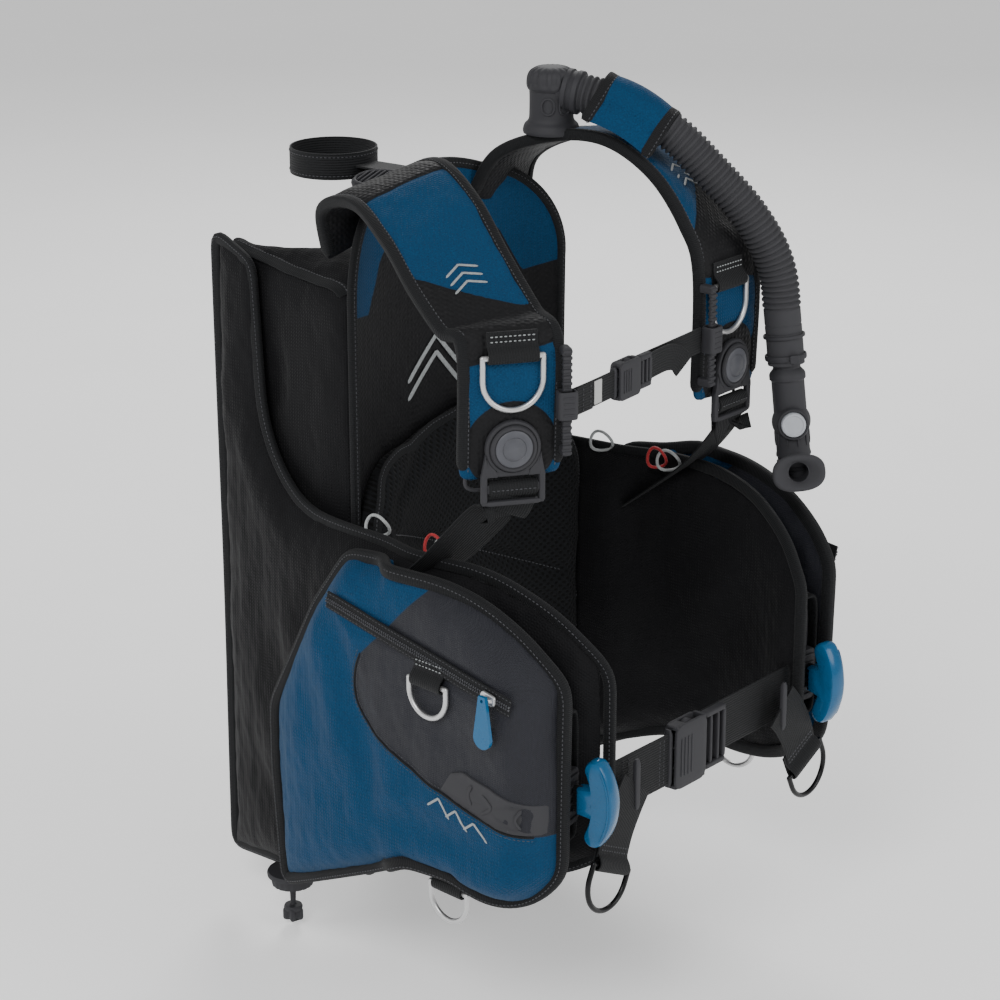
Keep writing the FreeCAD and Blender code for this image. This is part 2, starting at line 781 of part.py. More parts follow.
def release_socket(label, frame, tall, deep, long):
    """Hollow half of a side release buckle, open towards local +z."""
    outer = box(f"{label}_outside", deep, tall, long, frame)
    inner = box(f"{label}_inside", f"{deep} - 2 * buckle_wall", f"{tall} - 2 * buckle_wall", long,
                moved(frame, 0, 0, size("buckle_wall")))
    return node(label, cut(f"{label}_solid", outer, inner))


def release_plug(label, frame, tall, deep, long, reach):
    """Plug half: a body outside the socket and two springy prongs with a guide between them."""
    body = box(f"{label}_body", f"{deep} - 1", tall, long, frame)
    prongs = [body]
    inside = f"{deep} - 2 * buckle_wall - 2 * buckle_play"
    prong_y = size(tall) / 2 - size("buckle_wall") - size("buckle_play") - 2.5
    for name, y, wide in (("upper", prong_y, "5"), ("guide", 0.0, "4"), ("lower", -prong_y, "5")):
        prongs.append(box(f"{label}_{name}", inside, wide, str(reach + 1.0), moved(frame, 0, y, -reach)))
    return node(label, fuse(f"{label}_solid", *prongs))


def chest_strap():
    node("sternum_rails", group("rails", rail("right"), rail("left")))
    rail_slider("right")
    rail_slider("left")
    half = size("slider_width") / 2 + 1.0
    length = (RAIL_SPOT["left"] - RAIL_SPOT["right"]).Length
    start = BUCKLE_MIDDLE - size("chest_socket_length")
    node("right_sternum_webbing", strip_along_sternum("right_strip", half, start - 0.2, 0.0))
    release_socket("sternum_buckle_socket", sternum_frame(start), "chest_buckle_height",
                   "chest_buckle_depth", "chest_socket_length")
    release_plug("sternum_buckle_plug", sternum_frame(BUCKLE_MIDDLE + 1.0), "chest_buckle_height",
                 "chest_buckle_depth", "22", size("chest_socket_length") - 9.0)
    behind = size("chest_buckle_depth") / 2 + 1.6
    node("left_sternum_webbing",
         strip_along_sternum("left_strip", BUCKLE_MIDDLE + 3.0, length - 3.0, behind))


# ---------------------------------------------------------------- waist strap

WAIST_Z = -50.0
WAIST_Y = -447.0
WAIST_BUCKLE_X = -4.0


def waist_tail(label, side):
    """The spare end of the waist webbing hanging at the hip with its ring."""
    return webbing_between(label, (side * 118, -457.2, -50), (side * 147.2, -457.2, -110), "webbing_wide",
                           V(0, -1, 0))


def waist_strap():
    start = WAIST_BUCKLE_X - size("waist_socket_length")
    level = V(0, 0, 1)
    run = V(1, 0, 0)
    right = webbing_between("right_waist_strip", (-139.5, WAIST_Y, WAIST_Z), (start - 0.2, WAIST_Y, WAIST_Z),
                            "webbing_wide", V(0, -1, 0))
    behind = WAIST_Y + size("waist_buckle_depth") / 2 + 1.6
    left = webbing_between("left_waist_strip", (WAIST_BUCKLE_X + 4, behind, WAIST_Z),
                           (141.5, behind, WAIST_Z), "webbing_wide", V(0, -1, 0))
    tails = [waist_tail("right_tail", -1), waist_tail("left_tail", 1)]
    node("waist_webbing", group("waist_strips", right, left, *tails))
    turn = FreeCAD.Rotation(level.cross(run), level, run, "ZYX")
    release_socket("waist_buckle_socket", placed((start, WAIST_Y, WAIST_Z), turn), "waist_buckle_height",
                   "waist_buckle_depth", "waist_socket_length")
    release_plug("waist_buckle_plug", placed((WAIST_BUCKLE_X + 1, WAIST_Y, WAIST_Z), turn),
                 "waist_buckle_height", "waist_buckle_depth", "34", size("waist_socket_length") - 10.0)


# ---------------------------------------------------------------- hose and inflator

# The corrugated hose leaves the shoulder elbow forwards, then falls over the strap.
HOSE_ROUTE = [
    (101, -213, 501), (118, -259, 494), (136, -300, 470), (155, -327, 436),
    (177, -357, 397), (199, -377, 347), (202, -382, 295), (202, -388, 251),
]
UPPER_POINTS = 4
HOSE_PARTING = 0.4


def rounded_path(points):
    """Straight runs joined by tangent arcs; prints the radius of each arc."""
    edges = []
    here = points[0]
    for number in range(1, len(points) - 1):
        before = points[number] - points[number - 1]
        after = points[number + 1] - points[number]
        shorter = min(before.Length, after.Length)
        half_turn = before.getAngle(after) / 2
        radius = 0.45 * shorter / math.tan(half_turn)
        print(f"hose arc at point {number}: radius {radius:.0f} mm")
        inward = V(before).normalize()
        outward = V(after).normalize()
        start = points[number] - inward * (0.45 * shorter)
        end = points[number] + outward * (0.45 * shorter)
        centre_way = (outward - inward).normalize()
        middle = points[number] + centre_way * (radius / math.cos(half_turn) - radius)
        edges.append(Part.LineSegment(here, start).toShape())
        edges.append(Part.Arc(start, middle, end).toShape())
        here = end
    edges.append(Part.LineSegment(here, points[-1]).toShape())
    return Part.Wire(edges)


def hose_tube(label, points):
    path = rounded_path(points)
    radius = size("hose_radius")
    circle_edge = Part.makeCircle(radius, points[0], points[1] - points[0])
    tube = path.makePipeShell([Part.Wire(circle_edge)], True, False)
    expected = math.pi * radius * radius * path.Length
    if abs(tube.Volume / expected - 1) > 0.02:
        raise RuntimeError(f"{label}: volume {tube.Volume:.0f} is not {expected:.0f}")
    return node(label, feature(label, tube))


def hose_joint():
    """The hose is parted on one run, where it can bend: the gap's middle and the run's direction."""
    above = V(*HOSE_ROUTE[UPPER_POINTS - 1])
    below = V(*HOSE_ROUTE[UPPER_POINTS])
    return above + (below - above) * HOSE_PARTING, (below - above).normalize()


def hoses():
    middle, along = hose_joint()
    gap = along * (size("hose_gap") / 2)
    upper = [V(*point) for point in HOSE_ROUTE[:UPPER_POINTS]] + [middle - gap]
    lower = [middle + gap] + [V(*point) for point in HOSE_ROUTE[UPPER_POINTS:]]
    hose_tube("hose_upper", upper)
    hose_tube("hose_lower", lower)


def shoulder_elbow():
    """Moulded elbow and over-pressure valve on the left shoulder that the hose starts from."""
    first = V(*HOSE_ROUTE[0])
    along = (V(*HOSE_ROUTE[1]) - first).normalize()
    outlet = FreeCAD.Placement(first - along * 30.0, facing(along))
    pipe = cylinder("elbow_outlet", "hose_radius", "30", outlet)
    seat = V(first - along * 24.0)
    low = 463.0
    base = cylinder("elbow_base", "24", "8", placed((seat.x, seat.y, low)))
    tower = cylinder("elbow_tower", "20", str(seat.z - low + 14.0), placed((seat.x, seat.y, low)))
    cap = cylinder("elbow_cap", "22", "8", placed((seat.x, seat.y, seat.z + 12.0)))
    return node("shoulder_elbow", fuse("elbow_solid", pipe, base, tower, cap))


def hose_wrap():
    """Neoprene sleeve round the hose and the strap's top, as a ring round the hose here."""
    first = V(*HOSE_ROUTE[1])
    second = V(*HOSE_ROUTE[2])
    along = (second - first).normalize()
    start = FreeCAD.Placement(first + (second - first) * 0.5 - along * 2.0, facing(along))
    outer = cylinder("wrap_outside", "hose_radius + 4", "4", start)
    inner = cylinder("wrap_inside", "hose_radius + 0.3", "4", start)
    return node("hose_wrap", cut("wrap_solid", outer, inner))


PRESS_WAY = V(0.75, 0.66, 0).normalize()
INFLATE_AT = 55.0
MOUTH_AT = 98.0
NIPPLE_AT = 30.0


def inflator_frame():
    """Local z runs down the inflator, y is the way its button faces."""
    top = V(*HOSE_ROUTE[-1])
    along = (top - V(*HOSE_ROUTE[-2])).normalize()
    face = PRESS_WAY * -1
    across = face.cross(along).normalize()
    return FreeCAD.Placement(top, FreeCAD.Rotation(across, along.cross(across), along, "ZYX"))


TO_FACE = FreeCAD.Rotation(V(1, 0, 0), -90)
TO_REAR = FreeCAD.Rotation(V(1, 0, 0), 90)


def inflator_body():
    """Barrel with the button boss, the mouth tube and the nipple for the supply hose."""
    frame = inflator_frame()
    neck = cylinder("inflator_neck", "inflator_radius - 3", "16", frame)
    barrel = cylinder("inflator_barrel", "inflator_radius", "inflator_length - 14", moved(frame, 0, 0, 14))
    boss = cylinder("inflator_boss", "button_radius + 3", "21", moved(frame, 0, 0, INFLATE_AT, TO_FACE))
    tube = cylinder("inflator_mouth", "mouth_radius", "15 + mouth_length",
                    moved(frame, 0, 0, MOUTH_AT, TO_FACE))
    rear = moved(frame, 0, 0, NIPPLE_AT, TO_REAR)
    seat = cylinder("nipple_seat", "nipple_radius + 2.4", "nipple_seat_height", rear)
    nipple = cylinder("inflator_nipple", "nipple_radius", "nipple_seat_height + nipple_length", rear)
    solid = fuse("inflator_full", neck, barrel, boss, tube, seat, nipple)
    button_bore = cylinder("button_bore", "button_radius + button_play", "12",
                           moved(frame, 0, 11.5, INFLATE_AT, TO_FACE))
    mouth_bore = cylinder("mouth_hole", "mouth_bore", "40", moved(frame, 0, 4, MOUTH_AT, TO_FACE))
    end_bore = cylinder("end_bore", "end_button_radius + button_play", "12",
                        moved(frame, 0, 0, size("inflator_length") - 11))
    return node("inflator_body", cut("inflator_solid", solid, button_bore, mouth_bore, end_bore))


def buttons():
    frame = inflator_frame()
    at_side = moved(frame, 0, 16.5, INFLATE_AT, TO_FACE)
    at_end = moved(frame, 0, 0, size("inflator_length") - 5)
    node("inflate_button", cylinder("side_button", "button_radius", "8.5", at_side))
    node("exhaust_button", cylinder("end_button", "end_button_radius", "12", at_end))


def mouthpiece():
    """Rubber mouthpiece pushed over the mouth tube, with an oval lip flange."""
    frame = moved(inflator_frame(), 0, 15 + size("mouth_length") - 14, MOUTH_AT, TO_FACE)
    sleeve = cylinder("mouth_sleeve", "mouth_radius + 3", "20", frame)
    lip = pad("mouth_lip", rectangle(50, 36, corner=16), "5", moved(frame, 0, 0, 15))
    tube_room = cylinder("mouth_room", "mouth_radius + 0.1", "14.1", moved(frame, 0, 0, -0.1))
    hole = cylinder("lip_hole", "mouth_bore", "30", frame)
    return node("mouthpiece", cut("mouthpiece_solid", fuse("mouthpiece_full", sleeve, lip), tube_room, hole))


# ---------------------------------------------------------------- valves

DUMP_SPOT = (-138.0, -56.0)
DUMP_TOP = -252.0


def dump_valve():
    """Exhaust valve under the right hem: a cup with a seat and a hole for the pull's stem."""
    low = DUMP_TOP - size("valve_height")
    x, y = DUMP_SPOT
    outer = cylinder("valve_outside", "valve_radius", "valve_height", placed((x, y, low)))
    cavity = cylinder("valve_cavity", "valve_cavity_radius", "valve_cavity_height", placed((x, y, low + 2)))
    hole = cylinder("valve_hole", "stem_radius + 0.6", "6", placed((x, y, low - 1)))
    node("dump_valve", cut("valve_solid", outer, cavity, hole))
    seat = low + 2 + size("valve_cavity_height") - 2.4
    node("dump_disc", cylinder("valve_disc", "valve_cavity_radius - 2", "2", placed((x, y, seat))))
    end = low - 24.0
    stem = cylinder("pull_stem", "stem_radius", str(seat - end), placed((x, y, end)))
    knob = cylinder("pull_knob", "knob_radius", "knob_height", placed((x, y, end - size("knob_height") + 1)))
    node("dump_knob", fuse("pull_solid", stem, knob))


def shoulder_valve():
    """Flat exhaust valve on the right shoulder."""
    place = FreeCAD.Placement(V(-108, -158, 443.0), facing(V(-0.30, 0.08, 0.95), V(-1, 0, 0)))
    return node("shoulder_valve", pad("flat_valve", rectangle(58, 34, corner=15), "7", place))


# ---------------------------------------------------------------- zips

ZIP_RUN = V(-15.0, 200.0, 34.0).normalize()
ZIP_FRONT = V(243.2, -402.0, 60.0)


def zip_frame():
    """Local x runs from the front end of the zip to its rear end, z is away from the pocket."""
    out = V(200.0, 15.0, 0).normalize()
    return FreeCAD.Placement(ZIP_FRONT + out * 0.3, FreeCAD.Rotation(ZIP_RUN, out.cross(ZIP_RUN), out, "ZXY"))


def zip_tape():
    frame = zip_frame()
    middle = moved(frame, size("zip_length") / 2 - 30)
    return box("left_tape", "zip_length", "zip_width", "zip_thickness", middle)


def zip_slider():
    """Slider body with the pin that its pull tab hangs from."""
    frame = zip_frame()
    base = size("zip_thickness") + 0.4
    body = box("left_zip_body", "zip_slider_length", "zip_slider_width", "zip_slider_height",
               moved(frame, 0, 0, base))
    pin = cylinder("left_zip_pin", "tab_pin_radius", "tab_thickness + 1",
                   moved(frame, 0, 0, base + size("zip_slider_height")))
    return fuse("left_zip_solid", body, pin)


def pull_tab():
    """Teardrop tab that hangs from the slider."""
    lift = size("zip_thickness") + 0.4 + size("zip_slider_height") + 0.5
    out = zip_frame().Rotation.multVec(V(0, 0, 1))
    frame = FreeCAD.Placement(zip_frame().Base + out * lift, facing(out))
    drop = size("tab_drop")
    half = size("tab_width") / 2
    outline = [(-4, 4), (-half, -drop + half), (0, -drop, half, -drop + half), (4, 4)]
    pin_hole = circle(size("tab_pin_radius") + size("tab_pin_play"))
    return pad("left_tab_body", outline, "tab_thickness", frame, 0.0, [pin_hole])


# ---------------------------------------------------------------- build

tank_band()
backpack_plate()
cam_buckle()
cam_lever()
valve_loop()
air_cell()
back_panel()
back_pad()
for part_name, maker in (
    ("lobe", lobe),
    ("cargo_pocket", cargo_pocket),
    ("weight_pouch", weight_pouch),
    ("pouch_grip", pouch_grip),
    ("zip_slider", zip_slider),
    ("pull_tab", pull_tab),
):
    left = node(f"left_{part_name}", maker())
    node(f"right_{part_name}", mirrored(f"right_{part_name}", left))
sleeve = pouch_sleeve()
node("pouch_sleeves", group("sleeves", sleeve, mirrored("right_sleeve", sleeve)))
tape = zip_tape()
node("zipper_tapes", group("tapes", tape, mirrored("right_tape", tape)))
strap("right_shoulder_strap", RIGHT_STRAP)
strap("left_shoulder_strap", LEFT_STRAP)
for ring_name, ring_place in ring_places().items():
    d_ring(f"{ring_name}_ring", ring_name.split("_")[1], ring_place)
ring_keepers()
node("swivel_buttons", group("buttons", swivel_pin("right"), swivel_pin("left")))
swivel_buckle("right")
swivel_buckle("left")
shoulder_webbing()
chest_strap()
waist_strap()
hoses()
shoulder_elbow()
hose_wrap()
inflator_body()
buttons()
mouthpiece()
dump_valve()
shoulder_valve()

doc.recompute()

for item in doc.Objects:
    if "Invalid" in item.State or "Error" in item.State:
        raise RuntimeError(f"{item.Label} failed: {item.State}")
for label, item in nodes.items():
    if item.Shape.isNull() or not item.Shape.isValid() or item.Shape.Volume <= 0:
        raise RuntimeError(f"{label} has no valid shape")
for label, item in nodes.items():
    item.Shape.exportStep(f"parts/{label}.step")
print(f"{len(nodes)} sub-parts written")
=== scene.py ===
import math

import bmesh
import bpy
import numpy as np
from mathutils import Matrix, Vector
from mathutils.bvhtree import BVHTree


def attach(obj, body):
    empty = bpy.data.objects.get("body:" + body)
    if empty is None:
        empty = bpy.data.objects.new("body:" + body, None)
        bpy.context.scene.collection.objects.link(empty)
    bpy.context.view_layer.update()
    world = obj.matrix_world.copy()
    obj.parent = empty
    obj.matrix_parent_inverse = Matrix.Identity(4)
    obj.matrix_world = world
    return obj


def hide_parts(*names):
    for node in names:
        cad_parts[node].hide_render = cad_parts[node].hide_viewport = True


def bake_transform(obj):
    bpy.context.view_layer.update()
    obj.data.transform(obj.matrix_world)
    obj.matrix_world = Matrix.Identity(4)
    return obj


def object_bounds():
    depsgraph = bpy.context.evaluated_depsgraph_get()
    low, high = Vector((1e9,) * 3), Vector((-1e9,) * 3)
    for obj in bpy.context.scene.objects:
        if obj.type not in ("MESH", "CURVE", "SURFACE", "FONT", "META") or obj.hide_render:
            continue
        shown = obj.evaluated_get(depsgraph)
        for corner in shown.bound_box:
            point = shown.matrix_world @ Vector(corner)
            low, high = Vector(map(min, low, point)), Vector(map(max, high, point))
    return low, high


bl_info = {
    "name": "Buoyancy compensator vest",
    "version": (1, 0, 0),
    "blender": (4, 5, 0),
    "location": "View3D > Sidebar > Vest",
    "description": "Builds the visible pieces of a scuba diving vest round its packed frame",
    "category": "Object",
}

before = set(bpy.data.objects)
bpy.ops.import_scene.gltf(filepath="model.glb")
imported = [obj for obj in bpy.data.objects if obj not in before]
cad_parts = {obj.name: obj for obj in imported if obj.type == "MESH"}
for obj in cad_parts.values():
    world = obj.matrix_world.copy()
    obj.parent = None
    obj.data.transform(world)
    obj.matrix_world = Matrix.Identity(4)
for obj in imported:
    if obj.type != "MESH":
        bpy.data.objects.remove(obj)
CAD_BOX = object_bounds()
MM = 0.001
UP = (0.0, 0.0, 1.0)
RNG = np.random.default_rng(7)


def linear(colour):
    """A hex sRGB colour as linear red, green and blue."""
    channels = np.array([int(colour[i:i + 2], 16) for i in (0, 2, 4)]) / 255.0
    low = channels / 12.92
    high = ((channels + 0.055) / 1.055) ** 2.4
    return tuple(np.where(channels <= 0.04045, low, high))


# ------------------------------------------------------------------ properties

def length_prop(name, description, millimetres):
    return bpy.props.FloatProperty(
        name=name, description=description, default=millimetres * MM, unit="LENGTH", precision=4)


def colour_prop(name, description, colour):
    return bpy.props.FloatVectorProperty(
        name=name, description=description, default=linear(colour), subtype="COLOR", size=3, min=0, max=1)


class VestSizes(bpy.types.PropertyGroup):
    """Sizes of the sewn and moulded details"""
    voxel: length_prop("Skin cell", "Cell of the skin that a padded piece is blown up from", 5.0)
    tape_width: length_prop("Binding width", "Width of the binding tape over the edges", 13.0)
    tape_thickness: length_prop("Binding thickness", "Thickness of the binding tape", 2.4)
    stitch_pitch: length_prop("Stitch pitch", "Distance from one stitch to the next", 4.0)
    stitch_length: length_prop("Stitch length", "Length of one stitch", 2.7)
    webbing_thickness: length_prop("Webbing thickness", "Thickness of the harness webbing", 1.9)
    hose_radius: length_prop("Hose radius", "Outside radius of the corrugated hose", 18.5)
    hose_pitch: length_prop("Corrugation pitch", "Distance between two ribs of the hose", 5.6)
    tooth_pitch: length_prop("Zip pitch", "Distance between two turns of the zip's coil", 2.6)


class VestColours(bpy.types.PropertyGroup):
    """Colours of the fabrics and moulded parts"""
    blue: colour_prop("Blue nylon", "Coloured panels", "04385A")
    black: colour_prop("Black nylon", "Shell fabric", "121214")
    grey: colour_prop("Grey coating", "Coated panel of the cargo pocket", "25262C")
    webbing: colour_prop("Webbing", "Harness webbing and binding", "18191B")
    acetal: colour_prop("Black plastic", "Moulded buckles and valves", "0A0A0C")
    grip: colour_prop("Blue plastic", "Pouch grips and pull tabs", "075078")
    cap: colour_prop("Grey plastic", "Swivel caps", "4A4B50")
    button: colour_prop("Light grey plastic", "Inflation button", "A6A9AE")
    rubber: colour_prop("Rubber", "Hose and mouthpiece", "131417")


def sizes(name):
    """One of the sizes, in millimetres."""
    return getattr(bpy.context.scene.vest_sizes, name) / MM


def tint(name, factor=1.0):
    """One of the colours as RGBA, made lighter or darker by a factor."""
    colour = getattr(bpy.context.scene.vest_colours, name)
    return tuple(min(1.0, c * factor) for c in colour) + (1.0,)


# ------------------------------------------------------------------ numpy shapes, all in millimetres

def unit(vectors):
    vectors = np.asarray(vectors, float)
    return vectors / np.maximum(np.linalg.norm(vectors, axis=-1, keepdims=True), 1e-12)


def facing(origin, normal, up=UP):
    """A frame: its origin, and rows for local x, y and z, where z is the normal and y is near up."""
    forward = unit(normal)
    across = unit(np.cross(up, forward))
    return np.asarray(origin, float), np.stack([across, np.cross(forward, across), forward])


def inside(place, points):
    """Local points of a frame, as points of the row frame."""
    return place[0] + np.asarray(points, float) @ place[1]


def shifted(place, x=0.0, y=0.0, z=0.0, swap=None):
    """A frame moved in its own axes; swap names which old axis each new one is, with a sign."""
    origin = inside(place, (x, y, z))
    axes = place[1]
    if swap:
        axes = np.stack([math.copysign(1, k) * place[1][abs(k) - 1] for k in swap])
    return origin, axes


def curve_through(points, count, closed=False):
    """Catmull-Rom curve: between two points, a cubic whose slopes come from the neighbours."""
    points = np.asarray(points, float)
    last = len(points) if closed else len(points) - 1
    t = np.linspace(0, last, count, endpoint=not closed)
    i = np.minimum(t.astype(int), last - 1)
    f = (t - i)[:, None]
    if closed:
        a, b, c, d = (points[(i + k) % len(points)] for k in (-1, 0, 1, 2))
    else:
        ends = np.concatenate([[2 * points[0] - points[1]], points, [2 * points[-1] - points[-2]]])
        a, b, c, d = (ends[i + k] for k in (0, 1, 2, 3))
    return 0.5 * (2 * b + (c - a) * f + (2 * a - 5 * b + 4 * c - d) * f ** 2 + (3 * b - a - 3 * c + d) * f ** 3)


def run_lengths(path, closed=False):
    """Distance walked along a path to each of its points."""
    path = np.asarray(path, float)
    if closed:
        path = np.concatenate([path, path[:1]])
    return np.concatenate([[0.0], np.cumsum(np.linalg.norm(np.diff(path, axis=0), axis=1))])


def between_rows(at, run, rows):
    """Unit vectors read between rows that stand at the given distances."""
    return unit(np.stack([np.interp(at, run, rows[:, k]) for k in range(3)], -1))


def evenly(path, step, closed=False):
    """The same path with points a step apart."""
    path = np.asarray(path, float)
    run = run_lengths(path, closed)
    if closed:
        path = np.concatenate([path, path[:1]])
    count = max(int(round(run[-1] / step)), 2)
    at = np.linspace(0, run[-1], count + 1)
    if closed:
        at = at[:-1]
    return np.stack([np.interp(at, run, path[:, k]) for k in range(path.shape[1])], -1)


def turns(count):
    """Evenly spaced angles round a full turn."""
    return np.linspace(0, 2 * np.pi, count, endpoint=False)


def oval(width, height, power=2.0, count=20):
    """Superellipse profile: |2x/width| to the power plus |2y/height| to the power is 1."""
    t = np.linspace(0, 2 * np.pi, count, endpoint=False) + np.pi / count
    c, s = np.cos(t), np.sin(t)
    x = np.sign(c) * np.abs(c) ** (2 / power) * width / 2
    y = np.sign(s) * np.abs(s) ** (2 / power) * height / 2
    return np.stack([x, y], -1)


def grid(points, closed_u=False, closed_v=False, ends=False):
    """Quads between neighbours of a (rows, columns, 3) array, with UV = real lengths across and along.
    ends closes the first and last row with one face each."""
    rows, cols = points.shape[:2]
    i, j = np.meshgrid(np.arange(rows - (not closed_u)), np.arange(cols - (not closed_v)), indexing="ij")
    ci = np.stack([i, i, i + 1, i + 1], -1).reshape(-1, 4)
    cj = np.stack([j, j + 1, j + 1, j], -1).reshape(-1, 4)
    faces = ((ci % rows) * cols + cj % cols).tolist()
    along = run_lengths(points[:, cols // 4], closed_u)
    across = run_lengths(points[rows // 2], closed_v)
    uv = (np.stack([across[cj], along[ci]], -1) * MM).tolist()
    if ends:
        faces += [list(range(cols))[::-1], list(range((rows - 1) * cols, rows * cols))]
        uv += [[[0.0, 0.0]] * cols] * 2
    return points.reshape(-1, 3), faces, uv


def ways(path, guide, closed=False):
    """Tangent, side and lift at each point of a path; lift is as near to the guide as it can be."""
    path = np.asarray(path, float)
    ahead = np.roll(path, -1, 0) - np.roll(path, 1, 0) if closed else np.gradient(path, axis=0)
    tangent = unit(ahead)
    side = unit(np.cross(np.broadcast_to(guide, path.shape), tangent))
    return tangent, side, np.cross(tangent, side)


def carried(profile, path, guide, closed=False, ends=True):
    """A closed profile carried along a path: point = path + side * x + lift * y."""
    _, side, lift = ways(path, guide, closed)
    profile = np.asarray(profile, float)
    points = np.asarray(path)[:, None] + profile[..., 0:1] * side[:, None] + profile[..., 1:2] * lift[:, None]
    return grid(points, closed_u=closed, closed_v=True, ends=ends and not closed)


def tapered(profile, count, tip=0.35, share=0.06):
    """The same profile for each station, drawn in near both ends with a quarter-circle law."""
    t = np.linspace(0, 1, count)
    near = np.clip(np.minimum(t, 1 - t) / share, 0, 1)
    scale = tip + (1 - tip) * np.sqrt(1 - (1 - near) ** 2)
    return profile[None] * scale[:, None, None]


def lathe(profile, place, count=40, closed=False):
    """A (radius, height) profile turned about the frame's z: x = r cos a, y = r sin a, z = height."""
    profile = np.asarray(profile, float)
    a = turns(count)
    local = np.stack([profile[:, None, 0] * np.cos(a), profile[:, None, 0] * np.sin(a),
                      np.broadcast_to(profile[:, 1:2], (len(profile), count))], -1)
    return grid(inside(place, local), closed_u=closed, closed_v=True)


def plate(outline, thickness, place, edge=0.8, dome=0.0):
    """A flat outline given thickness, with its edges drawn in by a small round, and a crown if asked."""
    outline = np.asarray(outline, float)
    ahead = unit(np.roll(outline, -1, 0) - np.roll(outline, 1, 0))
    turn = np.sum(outline[:, 0] * np.roll(outline[:, 1], -1) - np.roll(outline[:, 0], -1) * outline[:, 1])
    inward = np.stack([-ahead[:, 1], ahead[:, 0]], -1) * np.sign(turn)
    middle = outline.mean(0)
    rings = []
    for inset, z in ((edge, 0.0), (0.3 * edge, 0.3 * edge), (0.0, edge), (0.0, thickness - edge),
                     (0.3 * edge, thickness - 0.3 * edge), (edge, thickness)):
        rings.append(np.column_stack([outline + inward * inset, np.full(len(outline), z)]))
    for share in (0.75, 0.45, 0.15):
        drawn = middle + (rings[5][:, :2] - middle) * share
        rings.append(np.column_stack([drawn, np.full(len(outline), thickness + dome * (1 - share ** 2))]))
    return grid(inside(place, np.array(rings)), closed_v=True, ends=True)


def rounded(width, height, corner, count=6, x=0.0, y=0.0):
    """A rectangle outline with quarter circles at its corners."""
    t = np.linspace(0, np.pi / 2, count)
    arc = np.stack([np.cos(t), np.sin(t)], -1) * corner
    a, b = width / 2 - corner, height / 2 - corner
    quarters = []
    for turn, (sx, sy) in enumerate(((1, 1), (-1, 1), (-1, -1), (1, -1))):
        c, s = math.cos(turn * math.pi / 2), math.sin(turn * math.pi / 2)
        quarters.append(arc @ np.array([[c, s], [-s, c]]) + (sx * a, sy * b))
    return np.concatenate(quarters) + (x, y)


def outline_points(steps, spacing=6.0, closed=True):
    """Points along an outline of lines to (x, y) and arcs through (mx, my) to (x, y)."""
    here = np.array(steps[0], float)
    runs = []
    for step in list(steps[1:]) + ([steps[0]] if closed else []):
        there = np.array(step[-2:], float)
        if len(step) == 4:
            mid = np.array(step[:2], float)
            lines = 2 * np.array([mid - here, there - here])
            centre = np.linalg.solve(lines, [mid @ mid - here @ here, there @ there - here @ here])
            a = [math.atan2(*(p - centre)[::-1]) for p in (here, mid, there)]
            sweep = (a[2] - a[0]) % (2 * np.pi)
            if (a[1] - a[0]) % (2 * np.pi) > sweep:
                sweep -= 2 * np.pi
            radius = np.linalg.norm(here - centre)
            n = max(int(abs(sweep) * radius / spacing), 3)
            t = a[0] + np.linspace(0, sweep, n, endpoint=False)
            runs.append(centre + radius * np.stack([np.cos(t), np.sin(t)], -1))
        elif np.linalg.norm(there - here) > 1e-6:
            n = max(int(np.linalg.norm(there - here) / spacing), 1)
            runs.append(here + np.linspace(0, 1, n, endpoint=False)[:, None] * (there - here))
        here = there
    if not closed:
        runs.append(here[None])
    return np.concatenate(runs)


def edge_distance(points, outline, closed=True):
    """Distance of each point to an outline, above 0 inside it (or to the left of an open line)."""
    a = np.asarray(outline, float)
    b = np.roll(a, -1, 0)
    if not closed:
        a, b = a[:-1], b[:-1]
    p = points[:, None]
    run = b - a
    t = np.clip(((p - a) * run).sum(-1) / np.maximum((run ** 2).sum(-1), 1e-9), 0, 1)
    gap = p - (a + t[..., None] * run)
    distance = np.sqrt((gap ** 2).sum(-1))
    if closed:
        cross = ((a[:, 1] > p[..., 1]) != (b[:, 1] > p[..., 1]))
        at = a[:, 0] + (p[..., 1] - a[:, 1]) / np.where(run[:, 1] == 0, 1e-9, run[:, 1]) * run[:, 0]
        sign = np.where((cross & (p[..., 0] < at)).sum(1) % 2 == 1, 1.0, -1.0)
    else:
        near = distance.argmin(1)
        row = np.arange(len(points))
        sign = np.sign(run[near, 0] * gap[row, near, 1] - run[near, 1] * gap[row, near, 0])
    return distance.min(1) * sign


# one stitch: a small lozenge with two pointed ends
STITCH_RINGS = np.array([(-0.5, 0, 0)] + [(x, y, z) for x in (-0.3, 0.3)
                        for y, z in ((0.5, 0), (0, 0.5), (-0.5, 0), (0, -0.5))] + [(0.5, 0, 0)])
STITCH_FACES = ([[0, 1 + k, 1 + (k + 1) % 4] for k in range(4)]
                + [[1 + k, 5 + k, 5 + (k + 1) % 4, 1 + (k + 1) % 4] for k in range(4)]
                + [[5 + k, 9, 5 + (k + 1) % 4] for k in range(4)])


